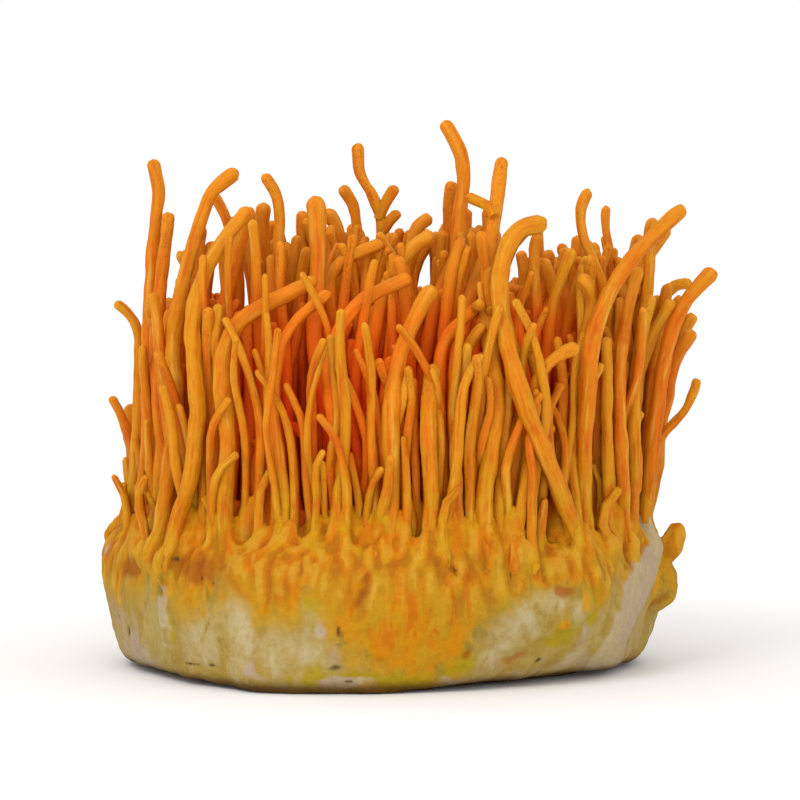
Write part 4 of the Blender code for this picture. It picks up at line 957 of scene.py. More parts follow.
class Line:
    """A stem's centre line in millimetres: samples, half-widths, and how it may be moved."""

    def __init__(self, samples: list[Vector], widths: Sequence[float], hold: Hold) -> None:
        """Keep the samples and work out the half-widths.

        Args:
            samples: points along the line, foot first.
            widths: thickness at the foot, half way and at the tip.
            hold: how the line may be moved.
        """
        self.samples = samples
        self.hold = hold
        self.root = samples[0]
        last = len(samples) - 1
        self.radii = [three_values(widths, i / last) / 2 for i in range(last + 1)]

    @classmethod
    def drawn(cls, depths: Sequence[float], widths: Sequence[float],
              points: Sequence[Pair]) -> "Line":
        """Lay out a line that the picture fixes.

        Args:
            depths: Y at the foot, half way and at the tip.
            widths: thickness at the same places.
            points: its points in the picture plane.

        Returns:
            The line.
        """
        flat = smooth_line([Vector((x, z, 0.0)) for x, z in points], SAMPLES)
        last = SAMPLES - 1
        samples = [seen_to_real(p.x, p.y, three_values(depths, i / last)) for i, p in enumerate(flat)]
        return cls(samples, widths, Hold.SIGHT)

    def relax(self, rounds: int) -> None:
        """Take the kinks out of the line, with its ends kept."""
        for _ in range(rounds):
            self.samples[1:-1] = softened(self.samples)

    def shift(self, moves: list[Vector]) -> None:
        """Spread moves along the line, so that it stays a smooth curve, and apply them.

        Args:
            moves: the wanted move of each sample.
        """
        if self.hold is Hold.FIXED:
            return
        for _ in range(SPREAD_ROUNDS):
            spread = [moves[0], *softened(moves), moves[-1]]
            moves = [new if new.length > old.length * SPREAD_KEEP else old * SPREAD_KEEP
                     for new, old in zip(spread, moves)]
        for i, move in enumerate(moves):
            sample = self.samples[i]
            if self.hold is Hold.SIGHT:
                x, z = real_to_seen(sample)
                self.samples[i] = seen_to_real(x, z, sample.y + move.y)
            else:
                self.samples[i] = sample + move


class CakeForm:
    """The plain form of the cake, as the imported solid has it."""

    def __init__(self) -> None:
        """Turn the profile and keep its skin, for the stems to stand on."""
        steps = [360.0 * i / CAKE_STEPS for i in range(CAKE_STEPS)]
        rows = CAKE_PROFILE
        points = [self.point(*row, angle) for row in rows[1:-1] for angle in steps]
        top, bottom = len(points), len(points) + 1
        points += [self.point(*rows[0], 0.0), self.point(*rows[-1], 0.0)]
        faces = []
        for i in range(CAKE_STEPS):
            j = (i + 1) % CAKE_STEPS
            faces.append((top, i, j))
            for row in range(len(rows) - 3):
                here = row * CAKE_STEPS
                faces.append((here + i, here + CAKE_STEPS + i, here + CAKE_STEPS + j, here + j))
            here = (len(rows) - 3) * CAKE_STEPS
            faces.append((here + i, bottom, here + j))
        self.skin = BVHTree.FromPolygons([p * MM for p in points], faces)

    @staticmethod
    def point(share: float, height: float, waist: float, angle: float) -> Vector:
        """Give a point of the plain skin in millimetres.

        Args:
            share: share of the radius.
            height: height over the bottom.
            waist: how far the radius has gone from the foot's to the waist's.
            angle: compass angle in degrees.

        Returns:
            The point.
        """
        foot = blend(CAKE_FOOT_RADII, angle, 360)
        wide = blend(CAKE_WAIST_RADII, angle, 360)
        radius = share * (foot + (wide - foot) * waist)
        turn = math.radians(angle)
        spot = Vector((radius * math.cos(turn), radius * math.sin(turn), height))
        if height == 0.0:
            return spot
        push = 0.0
        for lump_angle, lump_height, reach, rise in CAKE_LUMPS:
            lump_turn = math.radians(lump_angle)
            centre = Vector((wide * math.cos(lump_turn), wide * math.sin(lump_turn), lump_height))
            push += rise * math.exp(-(spot - centre).length_squared / (reach * reach))
        spot.x += push * math.cos(turn)
        spot.y += push * math.sin(turn)
        if share < WAVE_SHARE and height > WAVE_LEAST:
            spot.z += WAVE_HEIGHT * math.sin(spot.x * WAVE_X + 1.0) * math.cos(spot.y * WAVE_Y)
        return spot

    def drop(self, x: float, y: float) -> tuple[Vector, Vector]:
        """Drop a point on the skin from above.

        Args:
            x: place in millimetres.
            y: place in millimetres.

        Returns:
            The spot in millimetres, and the skin's normal there.
        """
        spot, normal, _, _ = self.skin.ray_cast(Vector((x, y, DROP_HEIGHT)) * MM, -UP)
        if spot is None:
            near = Vector((x, y)).normalized() * RIM_RADIUS
            spot, normal, _, _ = self.skin.ray_cast(Vector((near.x, near.y, DROP_HEIGHT)) * MM, -UP)
        return spot / MM, normal

    def clear_foot(self, spot: Vector, axis: Vector, radius: float) -> Vector:
        """Lift a round foot along its axis until its whole rim keeps the gap to the skin.

        Args:
            spot: where it is set down.
            axis: the way it grows.
            radius: its radius.

        Returns:
            Where it stands.
        """
        across = axis.orthogonal().normalized() * radius
        start = spot
        for _ in range(FOOT_LIFTS):
            least = FOOT_GAP
            for step in range(FOOT_TESTS):
                rim = start + Quaternion(axis, 2 * math.pi * step / FOOT_TESTS) @ across
                near, near_normal, _, _ = self.skin.find_nearest(rim * MM)
                least = min(least, (rim - near / MM).dot(near_normal))
            start = start + axis * (FOOT_GAP - least)
        return start

    def stand(self, line: Line) -> None:
        """Set a line's foot on the skin, so that it grows outwards and up from there.

        Args:
            line: the line.
        """
        foot = line.samples[0]
        spot, normal = self.drop(foot.x, foot.y)
        axis = (normal + UP).normalized()
        start = self.clear_foot(spot, axis, line.radii[0])
        rise = start + axis * FOOT_RUN
        kept = [p for p in line.samples[1:] if p.z > rise.z + FOOT_FREE]
        keys = [start, rise] + kept[1::3]
        if (keys[-1] - kept[-1]).length > 0.1:
            keys.append(kept[-1])
        line.samples = smooth_line(keys, SAMPLES)
        line.root = spot - axis * ROOT_DEPTH


@dataclass(frozen=True)
class CrowdPlan:
    """Where a crowd of stems stands, and the ranges its shapes are drawn from."""

    seed: int = 11
    places: int = 120
    radius: float = CROWD_RADIUS
    most: int = 73
    clear: float = 4.4
    front: float = -26.0
    width: Pair = (2.1, 3.0)
    height: Pair = (0.84, 1.0)
    turn: float = 0.0
    shortest: float = 0.0
    stiff_below: float = 0.0
    edge: float = 90.0
    ahead: float = 0.0
    bend: float = 1.0
    sky: Pairs = SKYLINE
    windows: Sequence[tuple[float, float, float, float]] = ()

    def _raise(self, foot: Vector, top: float, bends: tuple[Vector, Vector, Vector],
               width: float) -> Line:
        """Raise one stem over its foot.

        Args:
            foot: where it stands.
            top: height of its tip.
            bends: its lean, sway and hook.
            width: its thickness.

        Returns:
            The stem's line.
        """
        rise = Vector((0, 0, max(top - foot.z, self.shortest)))
        give = self.bend * (min(rise.z / self.stiff_below, 1.0) if self.stiff_below else 1.0)
        lean, sway, hook = (bend * give for bend in bends)
        keys = [foot + rise * up + lean * out + sway * side + hook * bend
                for up, out, side, bend in CROWD_SHAPE]
        return Line(smooth_line(keys, SAMPLES), [width * share for share in CROWD_TAPER], Hold.FREE)

    def grow(self, taken: Sequence[Line]) -> list[Line]:
        """Lay out the stems with their feet in a sunflower pattern.

        Args:
            taken: the lines that already stand, which the feet keep clear of.

        Returns:
            The new lines.
        """
        dice = random.Random(self.seed)
        golden = math.pi * (3 - math.sqrt(5))
        lines: list[Line] = []
        feet = [Vector((line.samples[0].x, line.samples[0].y)) for line in taken]
        for index in reversed(range(self.places)):
            turn = index * golden + self.turn
            radius = self.radius * math.sqrt((index + 0.5) / self.places)
            foot = Vector((radius * math.cos(turn) + dice.uniform(-CROWD_SHIFT, CROWD_SHIFT),
                           radius * math.sin(turn) + dice.uniform(-CROWD_SHIFT, CROWD_SHIFT),
                           TOP_HEIGHT))
            lean = foot.xy.normalized().to_3d() * dice.uniform(*CROWD_LEAN) * radius / CROWD_RADIUS
            sway = Vector((dice.uniform(-1, 1), dice.uniform(-1, 1), 0.0)) * CROWD_SWAY
            hook = Vector((dice.uniform(-1, 1), dice.uniform(-1, 1), 0.0)) * CROWD_HOOK
            height = dice.uniform(*self.height)
            width = dice.uniform(*self.width)
            seen_x, _ = real_to_seen(foot)
            hidden = all(not low < seen_x < high or foot.y > least - self.ahead
                         for low, high, least in GAPS)
            near = min((taken_foot - foot.xy).length for taken_foot in feet)
            if near < self.clear or foot.y < self.front or not hidden or abs(seen_x) > self.edge:
                continue
            tip_x, _ = real_to_seen(foot + lean + hook)
            top = min(blend(self.sky, seen_x), blend(self.sky, tip_x)) * height
            line = self._raise(foot, top, (lean, sway, hook), width)
            for window in self.windows:
                if covers(line, window):
                    line = self._raise(foot, window[2] - width, (lean, sway, hook), width)
            lines.append(line)
            feet.append(foot.xy)
            if len(lines) == self.most:
                break
        return lines


# The inner stems stand on three plans: strong ones, thin ones between them, and short ones low down
INNER_PLAN = CrowdPlan(shortest=14.0, stiff_below=70.0, bend=1.5, sky=INNER_SKY, windows=WINDOWS)
INNER_PLANS = (
    replace(INNER_PLAN, seed=29, places=420, radius=43.5, most=400, clear=2.7, front=-30.0,
            width=(1.8, 2.5), height=(0.93, 1.0), turn=1.3, edge=43.0, ahead=18.0),
    replace(INNER_PLAN, seed=31, places=1000, radius=44.0, most=400, clear=2.05, front=-42.0,
            width=(1.3, 2.0), height=(0.66, 0.97), turn=0.4, edge=42.5, ahead=32.0),
    replace(INNER_PLAN, seed=37, places=1400, radius=45.5, most=150, clear=1.7, front=-46.0,
            width=(1.2, 1.9), height=(0.4, 0.85), turn=0.9, edge=43.5, ahead=60.0,
            shortest=10.0, stiff_below=40.0),
)


def covers(line: Line, window: tuple[float, float, float, float]) -> bool:
    """Say whether a line is seen in front of or behind an open window.

    Args:
        line: the line.
        window: from x, to x, from z and to z in the picture plane.

    Returns:
        Whether it is.
    """
    room = line.radii[-1] + WINDOW_ROOM
    low, high, bottom, top = window
    places = [real_to_seen(sample) for sample in line.samples]
    return any(low - room < x < high + room and bottom - room < z < top + room for x, z in places)


def push_from(line: Line, other: Line, here: Vector, there: Vector, need: float, first: bool) -> Vector:
    """Say how far a sample moves off its neighbour's sample.

    Args:
        line: the line that moves.
        other: the neighbour.
        here: the sample that moves.
        there: the neighbour's sample.
        need: how far apart the two have to be.
        first: whether the line comes before its neighbour, which breaks a tie.

    Returns:
        The move.
    """
    away = here - there
    if line.hold is Hold.SIGHT:
        if other.hold is not Hold.SIGHT:
            return Vector((0, 0, 0))
        side = math.hypot(away.x, away.z)
        wanted = math.sqrt(max(need * need - side * side, 0.0))
        sign = math.copysign(1.0, away.y) if abs(away.y) > SAME_PLACE else (-1.0 if first else 1.0)
        return Vector((0, sign * (wanted - abs(away.y)) * DRAWN_PUSH, 0))
    away.z = 0.0
    if away.length < SAME_PLACE:
        away = Vector((1.0 if first else -1.0, 0.3, 0))
    share = SHARED_PUSH if other.hold is Hold.FREE else CROWD_PUSH
    return away.normalized() * (need - (here - there).length) * share


def ease_apart(lines: Sequence[Line], clear: float = CLEAR, rounds: int = ROUNDS) -> None:
    """Move the lines until none touch.

    Args:
        lines: all lines that stand together.
        clear: gap to keep between two skins.
        rounds: how often the lines are moved at most.
    """
    owners = [(s, i) for s in range(len(lines)) for i in range(SAMPLES)]
    widest = 2 * max(max(line.radii) for line in lines) + clear
    for _ in range(rounds):
        tree = tree_of([lines[s].samples[i] for s, i in owners])
        moves = [[Vector((0, 0, 0)) for _ in range(SAMPLES)] for _ in lines]
        busy = False
        for s, line in enumerate(lines):
            if line.hold is Hold.FIXED:
                continue
            for i, here in enumerate(line.samples):
                for there, index, distance in tree.find_range(here, widest):
                    other, j = owners[index]
                    need = line.radii[i] + lines[other].radii[j] + clear
                    if other == s or distance >= need:
                        continue
                    busy = True
                    move = push_from(line, lines[other], here, there, need, s < other)
                    if move.length > moves[s][i].length:
                        moves[s][i] = move
        for s, line in enumerate(lines):
            line.shift(moves[s])
        if not busy:
            break


@dataclass(frozen=True)
class Skinning:
    """How finely a stem is skinned and how much its skin lives, in millimetres."""

    spacing: float
    sides: int
    flare: float = 0.12
    flare_run: float = 2.5
    swell: float = 0.13
    wobble: float = 0.36
    grain: float = 0.5
    reach: float = 0.0
    club: float = 0.0


class Strand:
    """A stem's line close enough for a finished skin, with what its colours need."""

    def __init__(self, line: Line, skinning: Skinning, seed: int, fork: bool = False) -> None:
        """Lay out rings along a line.

        Args:
            line: the line.
            skinning: how finely, and with what life.
            seed: the stem's own number.
            fork: whether the line is a side branch, which has no foot on the cake.
        """
        dice = random.Random(seed)
        self.seed = dice.random()
        self.grainy = dice.random() < GRAINY_SHARE
        foot = tucked(line)
        path = ([] if fork else [foot]) + list(line.samples)
        path[-1] = path[-1] + (path[-1] - path[-2]).normalized() * skinning.reach
        dense = smooth_line(path, DENSE_POINTS)
        steps = [(b - a).length for a, b in zip(dense, dense[1:])]
        ways = np.concatenate(([0.0], np.cumsum(steps)))
        length = float(ways[-1])
        sunk = 0.0 if fork else (line.samples[0] - foot).length
        cap = TIP_REACH * line.radii[-1]
        body = np.linspace(0.0, length - cap, max(int((length - cap) / skinning.spacing), 4))
        turns = np.radians(TIP_TURNS)
        places = np.concatenate((body, length - cap + cap * np.sin(turns)))
        round_off = np.concatenate((np.ones(len(body)), np.cos(turns)))
        flat = np.array(dense)
        self.points = np.column_stack([np.interp(places, ways, flat[:, axis]) for axis in range(3)])
        self.run = places - sunk
        self.share = np.clip(self.run / (length - sunk), 0.0, 1.0)
        radii = np.interp(self.share, np.linspace(0, 1, len(line.radii)), line.radii)
        flare = 0.0 if fork else skinning.flare
        radii = radii * (1 + flare * np.exp(-(np.maximum(self.run, 0.0) / skinning.flare_run) ** 2)
                         + skinning.club * np.exp(-((length - places) / CLUB_RUN) ** 2))
        broad, fine = SWELL_SEEDS
        swell = [noise.noise(Vector((way * SWELL_LONG, seed * broad, 0.0)))
                 + SWELL_FINE * noise.noise(Vector((way * SWELL_SHORT, seed * fine, SWELL_APART)))
                 for way in places]
        self.half_width = radii * (1 + skinning.swell * np.array(swell)) * round_off
        # Painted shade: how deep a point lies in the red shade inside the stand
        height = self.points[:, 2]
        deep = ramp(np.hypot(self.points[:, 0], self.points[:, 1]), *INNER_EDGE)
        self.shade = deep * np.maximum(ramp(height, *INNER_TOP), INNER_LEAST) * foot_light(height)


def tucked(line: Line) -> Vector:
    """Give the spot well inside the cake that a stem's skin starts from.

    Args:
        line: the stem's line.

    Returns:
        The spot.
    """
    root = line.root
    edge = blend(CAKE_WAIST_RADII, compass(root), 360)
    share = min((edge - line.radii[0] - ROOT_TUCK) / max(math.hypot(root.x, root.y), 1.0), 1.0)
    return Vector((root.x * share, root.y * share, min(root.z - ROOT_LOWER, ROOT_HEIGHT)))


def foot_light(height: np.ndarray) -> np.ndarray:
    """Say how much of the painted red shade is left at a height: it fades towards the stems' feet."""
    return np.interp(height, FOOT_LIGHT[0], FOOT_LIGHT[1])


class StemSkin(Sheet):
    """Geometry Nodes tree that gives the wires of stems their living skin."""

    INPUTS = (("Geometry", "NodeSocketGeometry"), ("Sides", "NodeSocketInt"),
              ("Wobble", "NodeSocketFloat"), ("Grain", "NodeSocketFloat"),
              ("Material", "NodeSocketMaterial"))

    def __init__(self) -> None:
        """Build the tree."""
        super().__init__(bpy.data.node_groups.new("stem_skin", "GeometryNodeTree"))
        interface = self.tree.interface
        self.sockets = {name: interface.new_socket(name, in_out="INPUT", socket_type=kind).identifier
                        for name, kind in self.INPUTS}
        interface.new_socket("Geometry", in_out="OUTPUT", socket_type="NodeSocketGeometry")
        place = self.node("GeometryNodeInputPosition")
        seed = self._read("seed")
        apart = self.scale((1.0, 0.6, 0.3), seed)
        wander = self.vector("SUBTRACT", self.noise(self.vector("ADD", place, apart), WOBBLE_SCALE,
                                                    1.0, output="Color"), (0.5, 0.5, 0.5))
        bend = self.scale(wander, self._given("Wobble") * self._read("run").step(0.0, WOBBLE_START))
        wire = self.node("GeometryNodeSetPosition", None,
                         {"Geometry": self._given("Geometry"), "Offset": bend})
        curve = self.node("GeometryNodeMeshToCurve", None, {"Mesh": wire})
        ring = self.node("GeometryNodeCurvePrimitiveCircle", None,
                         {"Resolution": self._given("Sides"), "Radius": 1.0})
        ring = self._store(ring, "around", place)
        skin = self.node("GeometryNodeCurveToMesh", None,
                         {"Curve": curve, "Profile Curve": ring, "Scale": self._read("half_width"),
                          "Fill Caps": True})
        across = self.scale(self._read("around", "FLOAT_VECTOR"), self._read("half_width"))
        along = self.node("ShaderNodeCombineXYZ", None,
                          {"X": seed * 0.7, "Y": seed * 0.4, "Z": self._read("run") * GRAIN_STRETCH})
        skin = self._store(skin, "grain", self.vector("ADD", across, along))
        grain = self._read("grain", "FLOAT_VECTOR")
        rough = (self.noise(grain, SKIN_SCALE, 2.0) - 0.5) * self._given("Grain")
        proud = self.scale(self.node("GeometryNodeInputNormal"), rough)
        skin = self.node("GeometryNodeSetPosition", None, {"Geometry": skin, "Offset": proud})
        skin = self.node("GeometryNodeSetShadeSmooth", None, {"Geometry": skin})
        skin = self.node("GeometryNodeRealizeInstances", None, {"Geometry": skin})
        skin = self.node("GeometryNodeSetMaterial", None,
                         {"Geometry": skin, "Material": self._given("Material")})
        self.add("NodeGroupOutput", None, {"Geometry": skin})

    def _given(self, name: str) -> Value:
        """Read one of the tree's inputs."""
        return self.node("NodeGroupInput", output=name)

    def _read(self, name: str, kind: str = "FLOAT") -> Value:
        """Read a named attribute."""
        return self.node("GeometryNodeInputNamedAttribute", {"data_type": kind}, {"Name": name})

    def _store(self, geometry: Value, name: str, value: Value) -> Value:
        """Store a vector under a name on the points."""
        return self.node("GeometryNodeStoreNamedAttribute", {"data_type": "FLOAT_VECTOR"},
                         {"Geometry": geometry, "Name": name, "Value": value})

    def dress(self, name: str, strands: Sequence[Strand], skinning: Skinning,
              material: bpy.types.Material) -> bpy.types.Object:
        """Skin a set of strands as one piece.

        Args:
            name: the piece's name.
            strands: the strands.
            skinning: sides, wobble and grain of the skin.
            material: the finish.

        Returns:
            The piece, as a plain mesh.
        """
        wire = bpy.data.meshes.new(name + "_wire")
        points, edges = [], []
        for strand in strands:
            start = len(points)
            points += [Vector(point) * MM for point in strand.points]
            edges += [(start + i, start + i + 1) for i in range(len(strand.points) - 1)]
        wire.from_pydata(points, edges, [])
        columns = {
            "half_width": np.concatenate([s.half_width * MM for s in strands]),
            "run": np.concatenate([s.run * MM for s in strands]),
            "share": np.concatenate([s.share for s in strands]),
            "shade": np.concatenate([s.shade for s in strands]),
            "seed": np.concatenate([np.full(len(s.points), s.seed) for s in strands]),
            "grainy": np.concatenate([ramp(s.share, *GRAINY_TOP) * s.grainy for s in strands])}
        store_columns(wire, columns)
        guide = put_object(name + "_wire", wire)
        modifier = guide.modifiers.new("stem_skin", "NODES")
        modifier.node_group = self.tree
        for key, value in (("Sides", skinning.sides), ("Wobble", skinning.wobble * MM),
                           ("Grain", skinning.grain * MM), ("Material", material)):
            modifier[self.sockets[key]] = value
        return put_piece(name, worked_out(guide), material)


def store_columns(mesh: bpy.types.Mesh, columns: dict[str, np.ndarray]) -> None:
    """Store number columns as attributes of a mesh's points.

    Args:
        mesh: the mesh.
        columns: a number for each point, by attribute.
    """
    for name, values in columns.items():
        layer = mesh.attributes.new(name, "FLOAT", "POINT")
        layer.data.foreach_set("value", np.ascontiguousarray(values, dtype=np.float32))


def put_object(name: str, data: bpy.types.ID) -> bpy.types.Object:
    """Put an object into the scene.

    Args:
        name: its name.
        data: its mesh, light or camera.

    Returns:
        The object.
    """
    item = bpy.data.objects.new(name, data)
    bpy.context.scene.collection.objects.link(item)
    return item


def worked_out(guide: bpy.types.Object) -> bpy.types.Mesh:
    """Give the mesh that a guide's modifiers make, and take the guide out.

    Args:
        guide: the object with the modifiers.

    Returns:
        The mesh.
    """
    bpy.context.view_layer.update()
    mesh = bpy.data.meshes.new_from_object(guide.evaluated_get(bpy.context.evaluated_depsgraph_get()))
    bpy.data.objects.remove(guide)
    return mesh


def put_piece(name: str, mesh: bpy.types.Mesh, material: bpy.types.Material) -> bpy.types.Object:
    """Put a finished mesh into the scene as a piece at the origin.

    Args:
        name: the piece's name.
        mesh: its mesh, in metres.
        material: its finish.

    Returns:
        The piece.
    """
    mesh.name = name
    if not mesh.materials:
        mesh.materials.append(material)
    return put_object(name, mesh)


class Mark(Enum):
    """What a mark on the cake's skin is made of, or, for the dark and rust marks in crevices and
    hollows, the shade painted there; the value is the attribute that paints it.
    """

    DARK = "dark"
    RUST_AND_SHADE = "rust"
    LILAC = "lilac"
    GREEN = "green"
    CREAM = "cream"
    ORANGE = "orange"


# Marks on the cake's side by kind: where it is seen (x, z), half-width and half-height, tilt in
# degrees, strength, and how far the skin rises or sinks there
CAKE_MARKS = {
    Mark.CREAM: (
        (-24.5, 8.5, 2.5, 8.0, 0, 1.0, 0.2), (-30.5, 6.0, 4.5, 3.6, 0, 0.8, 0.2),
        (-18.5, 5.0, 3.8, 4.0, 0, 0.7, 0.1), (-12.5, 3.5, 3.0, 2.0, 0, 0.6, 0),
        (22.6, 9.0, 4.6, 4.0, 35, 1.0, 0.2), (28.8, 13.6, 3.4, 2.4, 10, 0.9, 0.2),
        (10.0, 7.7, 1.9, 1.4, 0, 0.9, 0.1), (19.0, 4.0, 3.0, 2.0, 20, 0.7, 0),
        (33.4, 3.6, 3.0, 2.4, 0, 0.8, 0.1), (33.6, 12.0, 1.2, 3.0, 0, 0.7, 0.1),
    ),
    Mark.LILAC: (
        (-37.4, 11.3, 1.5, 4.0, 4, 1.0, 0.2), (-41.6, 4.8, 3.2, 2.8, -20, 0.9, -0.3),
        (-6.4, -0.9, 3.4, 0.8, 0, 0.9, -0.1), (-10.4, 8.6, 0.9, 2.2, 0, 0.6, 0),
        (12.0, -0.6, 3.0, 0.9, 5, 0.6, 0), (-22.0, 1.2, 2.6, 1.2, -5, 0.7, 0),
        (-45.2, 24.0, 1.6, 1.3, 0, 0.7, 0),
    ),
    # Rust-brown patches, and painted shade in grooves, in the crevices between the feet and in hollows
    Mark.RUST_AND_SHADE: (
        (46.6, 12.6, 0.7, 2.6, -20, 0.6, -0.8), (-29.8, 19.2, 6.4, 2.4, 0, 0.95, -0.3),
        (-42.0, 19.2, 4.4, 1.6, 0, 0.95, -0.6), (14.4, 20.6, 4.2, 2.0, -10, 0.85, -0.5),
        (31.6, 15.0, 1.8, 1.0, 0, 0.85, -0.6), (23.0, 3.6, 2.4, 1.1, 15, 0.75, -0.3),
        (14.8, 4.2, 0.7, 1.6, -30, 0.8, -0.3), (-2.6, 16.6, 0.75, 3.8, -20, 0.9, -0.9),
        (0.4, 3.0, 1.2, 0.7, 0, 0.7, -0.2), (9.0, 19.4, 0.5, 1.4, 20, 0.9, -0.6),
        (11.6, 18.7, 0.4, 1.3, 25, 0.9, -0.6), (-20.5, 21.0, 0.5, 1.6, 0, 0.8, -0.5),
        (-12.0, 19.5, 0.5, 1.8, 0, 0.8, -0.5), (26.4, 18.6, 0.5, 1.5, 0, 0.8, -0.5),
        (40.0, 20.4, 0.5, 2.2, -12, 0.8, -0.6),
    ),
    Mark.GREEN: (
        (-35.8, 9.2, 0.5, 3.2, 3, 1.0, -0.2), (-43.4, 11.0, 1.1, 4.4, 5, 0.7, -0.3),
        (-12.0, 13.0, 2.4, 5.6, 0, 0.55, 0), (-12.0, 0.2, 3.2, 1.8, 0, 0.9, -0.2),
        (-5.0, -0.2, 3.6, 1.4, 0, 0.9, -0.2), (4.5, -0.6, 6.0, 1.7, 0, 0.9, 0),
        (13.0, 2.4, 4.4, 2.8, 15, 0.75, 0), (36.9, 13.4, 1.6, 4.0, -10, 1.0, -0.5),
        (31.6, 7.4, 3.6, 2.4, 0, 0.75, -0.1), (20.8, 12.4, 2.6, 1.6, 20, 0.6, 0),
        (51.0, 25.0, 1.2, 1.2, 0, 0.5, 0), (49.6, 15.2, 1.6, 1.4, 0, 0.5, 0),
    ),
    Mark.ORANGE: (
        (-46.5, 23.0, 2.4, 2.2, 0, 0.9, 0.5), (-18.5, 18.0, 4.2, 4.2, 0, 0.9, 0),
        (4.0, 13.0, 6.5, 7.0, 0, 1.0, 0), (31.4, 9.1, 1.1, 0.8, 10, 1.0, 0.9),
        (25.6, 19.6, 4.0, 2.4, 0, 0.8, 0), (50.4, 16.5, 2.6, 4.4, 0, 1.0, 0),
        (-3.4, 9.0, 1.6, 0.5, 40, 0.6, 0.4),
    ),
    # Dark spots, and painted shade in the crevices between the feet and in hollows
    Mark.DARK: (
        (-28.1, 20.3, 0.45, 0.4, 0, 0.9, -0.2), (-29.8, 21.0, 0.5, 0.3, 30, 0.9, -0.2),
        (-29.8, 17.6, 0.35, 0.4, 0, 0.8, 0), (-28.3, 16.6, 0.3, 0.4, 0, 0.8, 0),
        (-42.9, 16.9, 0.4, 0.5, 0, 0.7, 0), (-43.6, 18.4, 0.6, 0.3, 0, 0.7, 0),
        (-37.5, 15.0, 0.7, 0.7, 0, 0.7, -0.3), (-43.6, 8.2, 0.7, 0.9, 0, 0.75, -0.3),
        (-45.3, 11.2, 0.3, 1.4, 12, 0.7, -0.2), (-32.8, 2.4, 2.3, 0.25, 0, 0.9, -0.35),
        (-29.6, 2.1, 0.8, 0.3, -4, 0.9, -0.3), (-7.3, 8.2, 0.4, 1.0, 5, 0.95, -0.3),
        (-7.4, 5.7, 0.7, 0.45, 0, 0.6, -0.1), (-7.8, 1.7, 1.6, 0.45, 5, 0.75, -0.3),
        (-5.7, -0.9, 0.9, 0.35, 0, 0.7, -0.2), (27.3, 2.9, 0.8, 0.6, 30, 0.95, -0.3),
        (28.4, 0.7, 1.2, 0.4, 10, 0.8, -0.2), (21.3, 18.0, 0.25, 1.5, 0, 0.7, -0.4),
        (34.7, 20.3, 0.5, 1.3, 0, 0.7, -0.5), (12.4, 18.3, 0.25, 0.8, 25, 0.8, -0.3),
    ),
}
# Where the orange of the upper skin ends on the side: compass angle and height
ORANGE_EDGE = ((-180, 17), (-160, 18), (-148, 18.5), (-138, 17), (-129, 15.5), (-122, 17.5), (-118, 17),
               (-113, 13.5), (-108, 14), (-104, 19), (-100, 15), (-95, 9), (-89, 5), (-81, 5), (-75, 7),
               (-70, 12), (-64, 13), (-58, 17), (-50, 17.5), (-42, 18), (-34, 21), (-20, 18), (20, 16),
               (60, 12), (95, 8), (120, 13), (150, 16))
# How far the bottom's edge curves up from the floor, by compass angle
EDGE_RISE = ((-180, 0.5), (-150, 1.0), (-135, 0.9), (-125, 0.3), (-110, 0.0), (-90, 0.0), (-80, 0.4),
             (-70, 1.3), (-58, 2.3), (-45, 2.3), (-30, 1.4), (0, 0.5), (60, 0.8), (110, 0.3), (150, 0.7))
# Profile of the finished cake, as CAKE_PROFILE; its shoulder is drawn up between the stems' feet
GROWN_PROFILE = (*CAKE_PROFILE[:2], (0.6, 22.0, 1.0), (0.78, 22.6, 1.0), (0.86, 24.4, 1.0),
                 (0.92, 24.2, 1.0), (0.965, 21.8, 1.0), (0.99, 18.0, 1.0), *CAKE_PROFILE[6:])
# Lobes of the bud as they are seen: (x, z) with a radius
BUD_LOBES = (
    (((45.5, 20.6), 2.4), ((47.6, 21.7), 1.9), ((49.2, 22.3), 1.8), ((50.1, 23.2), 1.6),
     ((50.6, 24.6), 1.35), ((50.8, 26.1), 0.9)),
    (((46.4, 19.4), 2.2), ((47.6, 18.2), 2.2), ((48.5, 17.2), 2.3), ((48.8, 16.0), 2.4),
     ((48.7, 14.9), 2.3)),
    (((45.0, 15.5), 2.6), ((46.6, 14.4), 2.5), ((47.2, 13.6), 2.2)),
)
